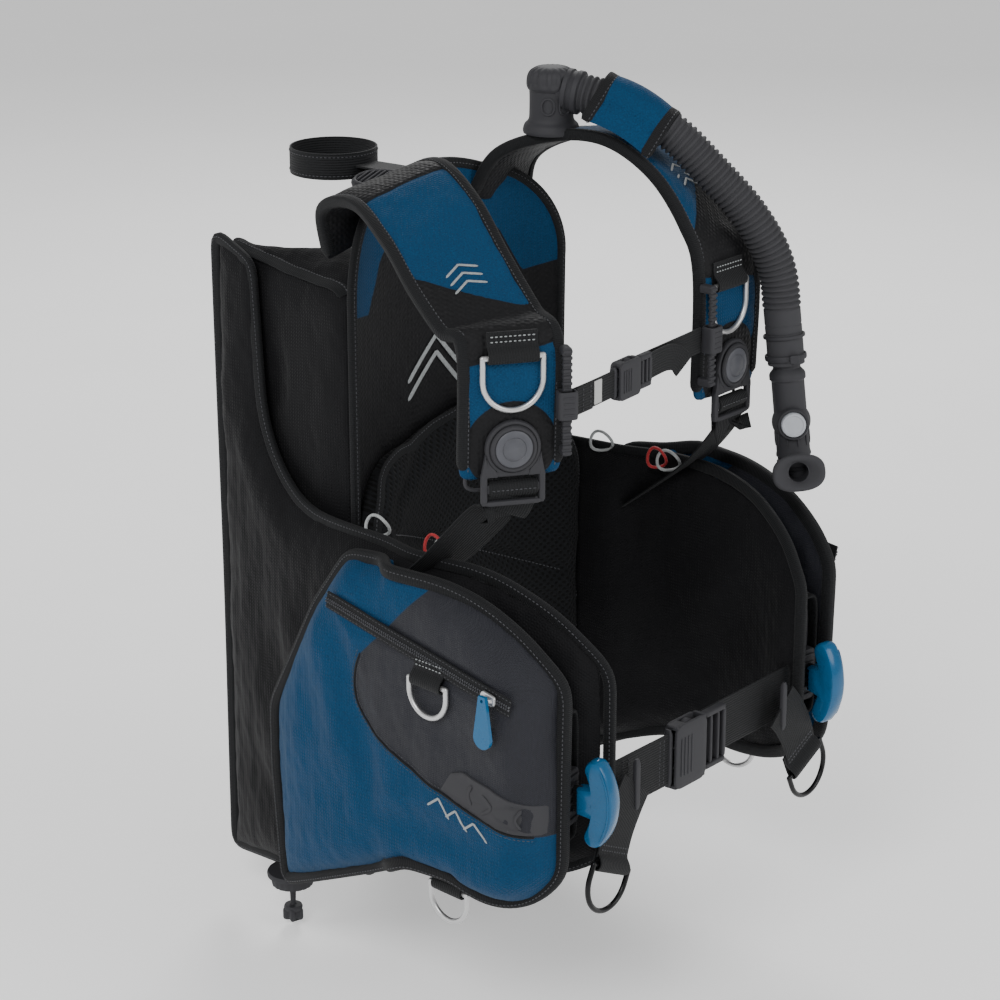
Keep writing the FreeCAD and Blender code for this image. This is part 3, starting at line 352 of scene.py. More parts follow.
def stitches(path, guide, closed=False, thick=0.9, pitch=None, length=None):
    """A row of stitches: the same lozenge at every pitch along the path, turned to its run."""
    pitch = pitch or sizes("stitch_pitch")
    length = length or sizes("stitch_length")
    dense = np.asarray(path, float)
    spots = evenly(dense, pitch, closed)
    if np.ndim(guide) == 2:
        guide = np.concatenate([guide, guide[:1]]) if closed else np.asarray(guide)
        run = run_lengths(dense, closed)
        at = np.linspace(0, run[-1], len(spots), endpoint=not closed)
        guide = between_rows(at, run, guide)
    tangent, side, lift = ways(spots, guide, closed)
    local = STITCH_RINGS * (length, thick, thick)
    points = (spots[:, None] + local[:, 0:1] * tangent[:, None] + local[:, 1:2] * side[:, None]
              + local[:, 2:3] * lift[:, None])
    shift = np.arange(len(spots)) * len(local)
    faces = [[v + s for v in face] for s in shift.tolist() for face in STITCH_FACES]
    return points.reshape(-1, 3), faces, None


# ------------------------------------------------------------------ pieces

class Parts:
    """Shapes gathered for one piece, each with its material."""

    def __init__(self):
        self.points, self.faces, self.uv, self.kinds, self.count = [], [], [], [], 0

    def add(self, shape, kind="black_acetal"):
        points, faces, uv = shape
        self.points.append(points)
        self.faces += [[v + self.count for v in face] for face in faces]
        self.uv += uv if uv is not None else [[[0.0, 0.0]] * len(face) for face in faces]
        self.kinds += [kind] * len(faces)
        self.count += len(points)
        return self


def clean(mesh, weld=1e-5):
    """Merges doubled points and turns every face outwards."""
    work = bmesh.new()
    work.from_mesh(mesh)
    bmesh.ops.remove_doubles(work, verts=work.verts, dist=weld)
    bmesh.ops.recalc_face_normals(work, faces=work.faces)
    work.to_mesh(mesh)
    work.free()


def made(name, parts, body, stands_for=(), mirror=1, sharp=38.0):
    """One piece from its parts, riding on a body. mirror -1 makes the right one of a left shape."""
    mesh = bpy.data.meshes.new(name)
    points = np.concatenate(parts.points) * (mirror * MM, MM, MM)
    mesh.from_pydata(points.tolist(), [], parts.faces)
    kinds = sorted(set(parts.kinds))
    for kind in kinds:
        mesh.materials.append(bpy.data.materials[kind])
    mesh.polygons.foreach_set("material_index", [kinds.index(kind) for kind in parts.kinds])
    layer = mesh.uv_layers.new(name="UVMap")
    layer.data.foreach_set("uv", [c for face in parts.uv for corner in face for c in corner])
    clean(mesh)
    mesh.shade_smooth()
    mesh.set_sharp_from_angle(angle=math.radians(sharp))
    piece = bpy.data.objects.new(name, mesh)
    bpy.context.scene.collection.objects.link(piece)
    settle(piece, body, stands_for)
    return piece


def settle(piece, body, stands_for=()):
    """Rides a piece on its body and hides the CAD parts that it stands for."""
    if isinstance(body, str):
        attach(piece, body)
    if stands_for:
        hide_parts(*stands_for)


def vertices_of(mesh):
    points = np.empty(len(mesh.vertices) * 3)
    mesh.vertices.foreach_get("co", points)
    return points.reshape(-1, 3) / MM


def normals_of(mesh):
    normals = np.empty(len(mesh.vertices) * 3)
    mesh.vertices.foreach_get("normal", normals)
    return normals.reshape(-1, 3)


def set_vertices(mesh, points):
    mesh.vertices.foreach_set("co", (np.asarray(points) * MM).ravel())
    mesh.update()


def applied(piece):
    """Bakes a piece's modifiers into its mesh."""
    graph = bpy.context.evaluated_depsgraph_get()
    mesh = bpy.data.meshes.new_from_object(piece.evaluated_get(graph))
    piece.modifiers.clear()
    old = piece.data
    piece.data = mesh
    bpy.data.meshes.remove(old)
    return mesh


def copied(node, name):
    """A new object with the merged mesh of a CAD node."""
    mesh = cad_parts[node].data.copy()
    mesh.name = name
    mesh.materials.clear()
    clean(mesh, 2e-5)
    piece = bpy.data.objects.new(name, mesh)
    bpy.context.scene.collection.objects.link(piece)
    return piece


def relaxed(mesh, points, rounds=3, share=0.5):
    """Each point moved part of the way to the mean of its neighbours, some rounds over."""
    edges = np.empty(len(mesh.edges) * 2, int)
    mesh.edges.foreach_get("vertices", edges)
    a, b = edges.reshape(-1, 2).T
    count = np.bincount(edges, minlength=len(points))[:, None]
    for _ in range(rounds):
        total = np.zeros_like(points)
        for k in range(3):
            total[:, k] = (np.bincount(a, points[b, k], len(points)) + np.bincount(b, points[a, k], len(points)))
        points = points + share * (total / count - points)
    return points


def blown_up(piece, shape, shrink, reach, pressure=4.0, cell=1.0):
    """Fabric skin: voxel remesh, an outline law, then cloth under pressure, its travel capped."""
    remesh = piece.modifiers.new("Skin", "REMESH")
    remesh.mode = "VOXEL"
    remesh.voxel_size = sizes("voxel") * cell * MM
    mesh = applied(piece)
    points = relaxed(mesh, shape(vertices_of(mesh)), 4)
    set_vertices(mesh, points)
    points = points - normals_of(mesh) * shrink
    set_vertices(mesh, points)
    cloth = piece.modifiers.new("Cloth", "CLOTH")
    cloth.settings.quality = 4
    cloth.settings.use_pressure = True
    cloth.settings.uniform_pressure_force = pressure
    cloth.settings.effector_weights.gravity = 0.0
    cloth.point_cache.frame_start = 1
    cloth.point_cache.frame_end = 20
    for number in range(1, 21):
        bpy.context.scene.frame_set(number)
    mesh = applied(piece)
    bpy.context.scene.frame_set(1)
    travel = vertices_of(mesh) - points
    far = np.linalg.norm(travel, axis=1, keepdims=True)
    points = points + travel * np.minimum(1.0, reach / np.maximum(far, 1e-9))
    set_vertices(mesh, relaxed(mesh, points, 2))
    finer = piece.modifiers.new("Finer", "SUBSURF")
    finer.levels = 1
    finer.render_levels = 1
    mesh = applied(piece)
    mesh.shade_smooth()
    return mesh


WAVES = RNG.normal(size=(14, 3))
WAVES = WAVES / np.linalg.norm(WAVES, axis=1, keepdims=True)
PHASES = RNG.uniform(0, 2 * np.pi, 14)


def slack(points, size=1.0, wavelength=70.0):
    """Gentle unevenness of loose cloth: a sum of sine waves in seeded directions, the shorter the lower."""
    total = np.zeros(len(points))
    for number in range(14):
        length = wavelength / (1 + 0.22 * number)
        total += np.sin(points @ WAVES[number] * 2 * np.pi / length + PHASES[number]) / (1 + 0.35 * number)
    return total * size * 0.4


def folds(points, lines):
    """Creases: along each line, a valley with a soft ridge beside it, fading to both ends."""
    total = np.zeros(len(points))
    for start, end, width, depth in lines:
        a, b = np.array(start, float), np.array(end, float)
        run = b - a
        t = ((points - a) @ run) / (run @ run)
        off = points - (a + np.clip(t, 0, 1)[:, None] * run)
        distance = np.linalg.norm(off, axis=1) / width
        fade = np.clip(np.sin(np.pi * np.clip(t * 0.86 + 0.07, 0, 1)), 0, 1) ** 0.6
        total += depth * fade * (-np.exp(-distance ** 2) + 0.65 * np.exp(-(distance - 1.9) ** 2))
    return total


def mark(mesh, values, name="panel"):
    """Stores one number per point, in millimetres from a seam, for the material to read."""
    attribute = mesh.attributes.get(name) or mesh.attributes.new(name, "FLOAT", "POINT")
    attribute.data.foreach_set("value", np.asarray(values, np.float32))


def mirror_of(piece, name):
    """The right piece of a left one: x changes sign and every face is turned round."""
    mesh = piece.data.copy()
    mesh.name = name
    set_vertices(mesh, vertices_of(mesh) * (-1, 1, 1))
    mesh.flip_normals()
    other = bpy.data.objects.new(name, mesh)
    bpy.context.scene.collection.objects.link(other)
    return other


class Skin:
    """The outside of a made piece, in millimetres, for laying tape, stitches and patches on it."""

    def __init__(self, piece):
        mesh = piece.data
        self.tree = BVHTree.FromPolygons((vertices_of(mesh)).tolist(), [p.vertices[:] for p in mesh.polygons])

    def cast(self, points, way, lift=0.0):
        """Points moved along a way on to the skin, and the skin's normals there."""
        way = Vector(way).normalized()
        found = []
        for point in np.asarray(points, float).tolist():
            hit = self.tree.ray_cast(Vector(point) - way * 300, way)
            if hit[0] is None:
                hit = self.tree.find_nearest(Vector(point))
            found.append([*hit[0], *hit[1]])
        found = np.array(found)
        normals = unit(found[:, 3:])
        return found[:, :3] + normals * lift, normals

    def from_side(self, flat, lift=0.0):
        """(y, z) points laid on the skin from the wearer's left."""
        return self.cast(np.column_stack([np.full(len(flat), 300.0), flat]), (-1, 0, 0), lift)

    def near(self, points, lift=0.0):
        found = np.array([[*h[0], *h[1]] for h in (self.tree.find_nearest(Vector(p)) for p in
                                                   np.asarray(points, float).tolist())])
        normals = unit(found[:, 3:])
        return found[:, :3] + normals * lift, normals


def smooth_rows(values, rounds=3, closed=False):
    """Running mean of neighbouring rows, so that tape doesn't copy every facet below it."""
    values = np.asarray(values, float)
    for _ in range(rounds):
        if closed:
            values = (np.roll(values, 1, 0) + 2 * values + np.roll(values, -1, 0)) / 4
        else:
            values[1:-1] = (values[:-2] + 2 * values[1:-1] + values[2:]) / 4
    return values


def binding(parts, path, normals, closed=False, width=None, sewn=True, kind="binding_tape"):
    """Tape carried along an edge, with one row of stitches near one side."""
    width = width or sizes("tape_width")
    thick = sizes("tape_thickness")
    path = smooth_rows(path, 3, closed)
    normals = unit(smooth_rows(normals, 4, closed))
    profile = oval(width, thick, 3.2, 16)
    parts.add(carried(profile if closed else tapered(profile, len(path), 0.7, 0.02), path, normals, closed), kind)
    if sewn:
        _, side, lift = ways(path, normals, closed)
        row = path - side * (width / 2 - 2.8) + lift * (thick / 2 - 0.05)
        parts.add(stitches(row, normals, closed), "thread")
    return parts


# ------------------------------------------------------------------ materials

def add(tree, kind, inputs=None, **settings):
    """Adds one node with its settings; an input is given a value or joined to a socket."""
    node = tree.nodes.new(kind)
    for name, value in settings.items():
        setattr(node, name, value)
    for key, value in (inputs or {}).items():
        if isinstance(value, bpy.types.NodeSocket):
            tree.links.new(value, node.inputs[key])
        else:
            node.inputs[key].default_value = value
    return node


def blank(name):
    material = bpy.data.materials.new(name)
    material.use_nodes = True
    material.node_tree.nodes.clear()
    return material.node_tree


def finished(tree, shader_inputs, height=None, distance=0.3, strength=0.6):
    """The surface shader, with relief of that height in millimetres if there is a pattern."""
    if height is not None:
        relief = add(tree, "ShaderNodeBump", {"Height": height, "Distance": distance * MM, "Strength": strength})
        shader_inputs = {**shader_inputs, "Normal": relief.outputs[0]}
    shader = add(tree, "ShaderNodeBsdfPrincipled", shader_inputs)
    add(tree, "ShaderNodeOutputMaterial", {"Surface": shader.outputs[0]})


def own_place(tree):
    return add(tree, "ShaderNodeTexCoord").outputs["Object"]


def speckle(tree, grain, low=0.0, high=1.0, detail=3.0, stretch=(1.0, 1.0, 1.0)):
    """Noise with that grain in millimetres, spread from low to high."""
    place = add(tree, "ShaderNodeVectorMath", {0: own_place(tree), 1: stretch}, operation="MULTIPLY")
    noise = add(tree, "ShaderNodeTexNoise", {
        "Vector": place.outputs[0], "Scale": 1 / (grain * MM), "Detail": detail, "Roughness": 0.6})
    return add(tree, "ShaderNodeMapRange", {
        "Value": noise.outputs[0], "From Min": 0.3, "From Max": 0.7, "To Min": low, "To Max": high}).outputs[0]


def blended(tree, factor, first, second):
    return add(tree, "ShaderNodeMix", {0: factor, 6: first, 7: second}, data_type="RGBA").outputs[2]


def threads(tree, pitch):
    """Plain weave on any side: sin x sin y + sin y sin z + sin z sin x, a thread each half wave."""
    scaled = add(tree, "ShaderNodeVectorMath", {0: own_place(tree), "Scale": math.pi / (pitch * MM)},
                 operation="SCALE")
    parts = add(tree, "ShaderNodeSeparateXYZ", {0: scaled.outputs[0]})
    waves = [add(tree, "ShaderNodeMath", {0: parts.outputs[k]}, operation="SINE").outputs[0] for k in range(3)]
    total = 0.0
    for a, b in ((0, 1), (1, 2), (2, 0)):
        total = add(tree, "ShaderNodeMath", {0: waves[a], 1: waves[b], 2: total}, operation="MULTIPLY_ADD").outputs[0]
    return total


def shade(tree, colour, spread, grain=1.6, broad=45.0):
    """A dyed yarn's colour: fine melange from thread to thread, and broad uneven fading."""
    fine = blended(tree, speckle(tree, grain), tint(colour, 1 - spread), tint(colour, 1 + spread))
    return blended(tree, speckle(tree, broad, 0.0, 0.35, 2.0), fine, tint(colour, 0.8))


def beyond_seam(tree):
    """0 on the first cloth and 1 on the second, from the distance to the seam kept on each point."""
    seam = add(tree, "ShaderNodeAttribute", attribute_name="panel")
    return add(tree, "ShaderNodeMapRange", {"Value": seam.outputs["Fac"], "From Min": 0.0, "From Max": 0.7}).outputs[0]


def woven_nylon(name, colour, spread=0.22, pitch=1.6, roughness=0.78):
    """Nylon pack cloth, woven and dyed: matt, with a soft bloom along edges and fine threads.
    Real threads are 0.6 mm apart and are drawn at 1.6 mm so that they show."""
    tree = blank(name)
    finished(tree, {"Base Color": shade(tree, colour, spread), "Roughness": roughness, "Sheen Weight": 0.05,
                    "Sheen Roughness": 0.4, "Specular IOR Level": 0.16}, threads(tree, pitch), 0.28, 0.5)


def two_cloths(name, first, second, pitch_one, pitch_two, rough_one, rough_two, second_factor=1.0):
    """Two fabrics sewn along a seam; which one a point has comes from the seam's distance."""
    tree = blank(name)
    side = beyond_seam(tree)
    colour = blended(tree, side, shade(tree, first, 0.22), shade(tree, second, 0.10 * second_factor, 2.4))
    relief = add(tree, "ShaderNodeMix", {0: side, 2: threads(tree, pitch_one), 3: threads(tree, pitch_two)},
                 data_type="FLOAT")
    rough = add(tree, "ShaderNodeMapRange", {"Value": side, "To Min": rough_one, "To Max": rough_two})
    finished(tree, {"Base Color": colour, "Roughness": rough.outputs[0], "Sheen Weight": 0.04,
                    "Sheen Roughness": 0.4, "Specular IOR Level": 0.2}, relief.outputs[0], 0.3, 0.55)


def ribbed_tape(name, colour, across_pitch, along_pitch, across_share, roughness=0.7, factor=1.0):
    """Woven nylon webbing or grosgrain: ribs across and along, read from the piece's own lengths; painted shade in the
    rib valleys.
    """
    tree = blank(name)
    place = add(tree, "ShaderNodeUVMap", uv_map="UVMap")
    parts = add(tree, "ShaderNodeSeparateXYZ", {0: place.outputs[0]})
    waves = []
    for socket, pitch in ((0, across_pitch), (1, along_pitch)):
        angle = add(tree, "ShaderNodeMath", {0: parts.outputs[socket], 1: 2 * math.pi / (pitch * MM)},
                    operation="MULTIPLY")
        waves.append(add(tree, "ShaderNodeMath", {0: angle.outputs[0]}, operation="SINE").outputs[0])
    relief = add(tree, "ShaderNodeMix", {0: across_share, 2: waves[1], 3: waves[0]}, data_type="FLOAT").outputs[0]
    # painted shade: the base colour goes darker in the low valleys of the rib relief
    valley = add(tree, "ShaderNodeMapRange", {"Value": relief, "From Min": -1.0, "To Min": 0.55, "To Max": 0.0})
    base = blended(tree, valley.outputs[0], shade(tree, colour, 0.12), tint(colour, 0.35 * factor))
    finished(tree, {"Base Color": base, "Roughness": roughness, "Sheen Weight": 0.04,
                    "Specular IOR Level": 0.22}, relief, 0.35, 0.6)


def spacer_mesh(name):
    """Knitted polyester spacer mesh: staggered oval holes 5 mm apart, coloured near black for the dark backing seen
    through them and for painted shade inside them.
    """
    tree = blank(name)
    turned = add(tree, "ShaderNodeMapping", {"Vector": own_place(tree), "Rotation": (0, math.pi / 4, 0)})
    parts = add(tree, "ShaderNodeSeparateXYZ", {0: turned.outputs[0]})
    flat = add(tree, "ShaderNodeCombineXYZ", {0: parts.outputs[0], 1: parts.outputs[2]})
    cells = add(tree, "ShaderNodeTexVoronoi", {"Vector": flat.outputs[0], "Scale": 1 / (5.0 * MM), "Randomness": 0.0},
                voronoi_dimensions="2D")
    knit = add(tree, "ShaderNodeMapRange", {"Value": cells.outputs["Distance"], "From Min": 0.22, "From Max": 0.38})
    # the holes take a near-black colour: partly the dark backing, partly painted shade inside the holes
    base = blended(tree, knit.outputs[0], (0.004, 0.004, 0.004, 1.0), shade(tree, "webbing", 0.25, 0.9))
    finished(tree, {"Base Color": base, "Roughness": 0.85, "Sheen Weight": 0.04, "Specular IOR Level": 0.12},
             knit.outputs[0], 0.9, 0.8)


def moulded(name, colour, roughness, spread=0.08, worn=1.5, grain=0.7, coat=0.0, depth=0.05, ior=1.46):
    """Injection moulded plastic or rubber: fine spark-eroded grain, paler where edges are rubbed."""
    tree = blank(name)
    rub = add(tree, "ShaderNodeMapRange", {"Value": add(tree, "ShaderNodeNewGeometry").outputs["Pointiness"],
                                           "From Min": 0.52, "From Max": 0.60, "To Max": 0.6})
    body = blended(tree, speckle(tree, 9.0), tint(colour, 1 - spread), tint(colour, 1 + spread))
    base = blended(tree, rub.outputs[0], body, tint(colour, worn))
    rough = speckle(tree, 14.0, roughness - 0.05, roughness + 0.07)
    finished(tree, {"Base Color": base, "Roughness": rough, "IOR": ior, "Coat Weight": coat,
                    "Specular IOR Level": 0.32},
             speckle(tree, grain), depth, 0.35)


def drawn_steel(name):
    """Stainless bar, drawn and tumbled: bright, with faint lengthwise haze."""
    tree = blank(name)
    haze = speckle(tree, 2.5, 0.14, 0.32, 5.0, (1.0, 1.0, 6.0))
    base = blended(tree, speckle(tree, 12.0), (0.09, 0.088, 0.085, 1.0), (0.17, 0.167, 0.162, 1.0))
    finished(tree, {"Base Color": base, "Metallic": 1.0, "Roughness": haze}, speckle(tree, 0.8), 0.02, 0.3)


def plain_thread(name, colour, spread=0.15, roughness=0.6):
    """Twisted polyester thread: a slight sheen and small changes from stitch to stitch."""
    tree = blank(name)
    low = tuple(c * (1 - spread) for c in linear(colour)) + (1.0,)
    high = tuple(min(1.0, c * (1 + spread)) for c in linear(colour)) + (1.0,)
    base = blended(tree, speckle(tree, 3.0), low, high)
    finished(tree, {"Base Color": base, "Roughness": roughness, "Sheen Weight": 0.2}, speckle(tree, 0.5), 0.1, 0.5)


def pale_floor(name):
    """Matt paper sweep, almost even."""
    tree = blank(name)
    base = blended(tree, speckle(tree, 400.0), (0.93, 0.93, 0.93, 1.0), (0.96, 0.96, 0.96, 1.0))
    finished(tree, {"Base Color": base, "Roughness": 0.9, "Emission Color": (1.0, 1.0, 1.0, 1.0),
                    "Emission Strength": 0.3})


def make_materials():
    woven_nylon("black_pack_cloth", "black", 0.14)
    woven_nylon("blue_pack_cloth", "blue")
    woven_nylon("black_cordura", "black", 0.2, 2.4, 0.85)
    # blue pack cloth joined to a coated cloth that is smooth and faintly shiny
    two_cloths("pocket_cloths", "blue", "grey", 1.6, 0.9, 0.78, 0.5)
    # blue pack cloth joined to ballistic nylon, whose doubled threads make a coarse basket weave
    two_cloths("strap_cloths", "blue", "black", 1.6, 2.8, 0.78, 0.66, 3.0)
    spacer_mesh("spacer_mesh")
    # harness webbing: lengthwise ribs 2.4 mm apart crossed by finer picks
    ribbed_tape("harness_webbing", "webbing", 2.4, 1.7, 0.75)
    # grosgrain binding: ribs across its width
    ribbed_tape("binding_tape", "webbing", 3.2, 1.8, 0.25, 0.8)
    moulded("black_acetal", "acetal", 0.36)
    moulded("grey_acetal", "cap", 0.42)
    moulded("pale_acetal", "button", 0.38, 0.04, 1.05)
    moulded("blue_grip_plastic", "grip", 0.27, 0.06, 1.35, 1.2, 0.2)
    moulded("black_rubber", "rubber", 0.5, 0.12, 1.25, 0.9, 0.0, 0.08, 1.52)
    drawn_steel("stainless_steel")
    moulded("black_coated_steel", "acetal", 0.26, 0.1, 2.2)
    plain_thread("thread", "34353A")
    plain_thread("reflective_thread", "8E9293")
    plain_thread("white_thread", "9FA2A2", 0.05)
    plain_thread("red_cord", "A5141A")
    plain_thread("zip_coil", "3A3B40", 0.1, 0.45)
    plain_thread("white_label", "B4B4B2", 0.02)
    pale_floor("paper_floor")


# ------------------------------------------------------------------ places shared with the frame

HOSE_ROUTE = np.array([
    (101, -213, 501), (118, -259, 494), (136, -300, 470), (155, -327, 436),
    (177, -357, 397), (199, -377, 347), (202, -382, 295), (202, -388, 251)], float)
STRAPS = {
    "right": np.array([
        ((-50, -126, 398), (-140, -122, 372)), ((-58, -148, 440), (-148, -122, 420)),
        ((-75, -203, 462), (-160, -172, 434)), ((-90, -255, 441), (-178, -225, 412)),
        ((-104, -302, 400), (-194, -270, 380)), ((-115, -346, 362), (-200, -306, 352)),
        ((-125.9, -379.4, 340), (-200.1, -328.6, 340)), ((-125.9, -379.4, 224), (-200.1, -328.6, 224))], float),
    "left": np.array([
        ((50, -126, 398), (140, -122, 372)), ((60, -152, 442), (146, -128, 424)),
        ((80, -203, 462), (160, -178, 450)), ((94, -252, 462), (176, -236, 448)),
        ((102, -300, 436), (190, -284, 422)), ((107, -334, 392), (198, -318, 382)),
        ((112, -347, 345), (204, -347, 345)), ((112, -347, 224), (204, -347, 224))], float)}
FACE_NORMAL = {"right": unit((-50.8, -74.2, 0)), "left": np.array([0.0, -1.0, 0.0])}
RAIL_SPOT = {"right": np.array([-133.5, -392.4, 0]), "left": np.array([112.0, -366.0, 0])}
SLIDE = unit((-32, -174, 0))
OUTWARD = np.array([-SLIDE[1], SLIDE[0], 0])
LOBE_SIDE = [
    (42, 372), (-19, 356), (-28, 240), (-62, 168, -128, 140), (-319, 140), (-404, 114, -456, 60), (-456, -105),
    (-400, -134, -341, -140), (-205, -176, -96, -236), (42, -262)]
POCKET_SIDE = [
    (-202, 134), (-264, 142), (-319, 140), (-400, 114, -450, 66), (-448, -105), (-390, -150, -341, -140),
    (-287, -139), (-241, -165), (-96, -232), (-84, -112), (-84, -49), (-155, 74)]
POCKET_OUT = np.array([0.9972, 0.0748, 0])


def chest_place(side, z):
    """On the front of a strap's flat part, with z away from the chest."""
    middle = STRAPS[side][-1].mean(0) * (1, 1, 0) + (0, 0, z)
    return facing(middle + FACE_NORMAL[side] * 6.0, FACE_NORMAL[side])


def ring_places():
    """Each ring's bar: x along the bar, y towards the keeper, z outwards, and the bar's width."""
    places = {}
    for side, sign in (("right", -1), ("left", 1)):
        places[f"{side}_chest"] = shifted(chest_place(side, 334.0), 0.0 if sign < 0 else -7.5, 0, 3.8), 58.0
        flip = np.array([sign, 1, 1])
        pocket_spot = np.array([237.9, -328, 52]) + POCKET_OUT * 3.8
        places[f"{side}_pocket"] = facing(pocket_spot * flip, POCKET_OUT * flip), 50.0
        places[f"{side}_hem"] = facing(np.array([218.0, -330, -152]) * flip, POCKET_OUT * flip), 50.0
        places[f"{side}_waist"] = facing(np.array([150.0, -459.2, -116]) * flip, (0, -1, 0),
                                         np.array([-0.44, 0, 0.90]) * flip), 60.0
    return places


def inflator_place():
    """z runs down the inflator and y is the way its button faces."""
    along = unit(HOSE_ROUTE[-1] - HOSE_ROUTE[-2])
    across = unit(np.cross(-unit((0.75, 0.66, 0)), along))
    return HOSE_ROUTE[-1], np.stack([across, np.cross(along, across), along])


TO_FACE = (1, -3, 2)
TO_REAR = (1, 3, -2)


# ------------------------------------------------------------------ stage

def build_stage():
    """Floor, camera and soft lights."""
    scene = bpy.context.scene
    back = Vector((-0.7243, -0.6078, 0.3256))
    lens = bpy.data.cameras.new("camera")
    lens.lens = 100.0
    lens.sensor_width = 36.0
    camera = bpy.data.objects.new("camera", lens)
    camera.location = (-1.8925, -1.7945, 0.979)
    camera.rotation_euler = back.to_track_quat("Z", "Y").to_euler()
    scene.collection.objects.link(camera)
    scene.camera = camera
    floor_z = CAD_BOX[0].z - 0.004
    mesh = bpy.data.meshes.new("floor")
    side = np.linspace(-40.0, 40.0, 41)
    gx, gy = np.meshgrid(side, side, indexing="ij")
    points, faces, _ = grid(np.stack([gx, gy, np.full_like(gx, floor_z)], -1))
    mesh.from_pydata(points.tolist(), [], [face[::-1] for face in faces])
    mesh.materials.append(bpy.data.materials["paper_floor"])
    floor = bpy.data.objects.new("floor", mesh)
    scene.collection.objects.link(floor)
    for name, place, power, size in (
            ("key_light", (-2.6, -1.2, 2.4), 62.0, 1.5), ("front_light", (0.6, -3.2, 1.6), 36.0, 1.8),
            ("fill_light", (-2.6, 1.8, 1.0), 16.0, 1.8), ("rim_light", (2.4, 1.6, 2.2), 50.0, 1.4)):
        light = bpy.data.lights.new(name, "AREA")
        light.energy = power
        light.shape = "DISK"
        light.size = size
        lamp = bpy.data.objects.new(name, light)
        lamp.location = place
        lamp.rotation_euler = (Vector(place) - Vector((0, -0.2, 0.1))).to_track_quat("Z", "Y").to_euler()
        scene.collection.objects.link(lamp)
    world = bpy.data.worlds.new("studio")
    world.use_nodes = True
    world.node_tree.nodes.clear()
    sky = add(world.node_tree, "ShaderNodeBackground", {"Color": (1.0, 1.0, 1.0, 1.0), "Strength": 0.5})
    add(world.node_tree, "ShaderNodeOutputWorld", {"Surface": sky.outputs[0]})
    scene.world = world


# ------------------------------------------------------------------ hose and inflator

def smooth_line(points, name):
    """Points read from a NURBS spline of order 3 with those control points."""
    curve = bpy.data.curves.new(name, "CURVE")
    curve.dimensions = "3D"
    spline = curve.splines.new("NURBS")
    spline.points.add(len(points) - 1)
    spline.points.foreach_set("co", np.column_stack([points * MM, np.ones(len(points))]).ravel())
    spline.order_u = 3
    spline.use_endpoint_u = True
    curve.resolution_u = 32
    line = bpy.data.objects.new(name, curve)
    bpy.context.scene.collection.objects.link(line)
    graph = bpy.context.evaluated_depsgraph_get()
    mesh = bpy.data.meshes.new_from_object(line.evaluated_get(graph))
    path = vertices_of(mesh)
    bpy.data.objects.remove(line)
    return path


def build_hose():
    """Corrugated hose: a circle carried along the line, its radius a raised cosine of the distance."""
    path = evenly(smooth_line(HOSE_ROUTE, "hose_line"), 0.8)
    run = run_lengths(path)
    length = run[-1]
    radius = sizes("hose_radius")
    ribs = np.clip(np.minimum(run - 6, length - 52 - run) / 3, 0, 1)
    wave = (0.5 - 0.5 * np.cos(run * 2 * np.pi / sizes("hose_pitch"))) ** 1.4
    outer = radius - 0.2 - 2.6 * wave * ribs - (1 - ribs) * 0.9
    outer = outer - 0.5 * (np.abs(run - (length - 30)) < 1.0) - 0.5 * (np.abs(run - (length - 38)) < 1.0)
    circle = oval(2, 2, 2, 36)
    profile = circle[None] * outer[:, None, None]
    parts = Parts().add(carried(profile, path, (0.3, 0.4, 1.0)), "black_rubber")
    hose = made("hose", parts, None, ("hose_upper", "hose_lower"), sharp=80)
    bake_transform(hose)
    return hose, path, length


def loops(rows, place):
    """A skin through superellipse loops, each (width, height, power, z)."""
    rings = [np.column_stack([oval(w, h, power, 40), np.full(40, z)]) for w, h, power, z in rows]
    return grid(inside(place, np.array(rings)), closed_v=True)


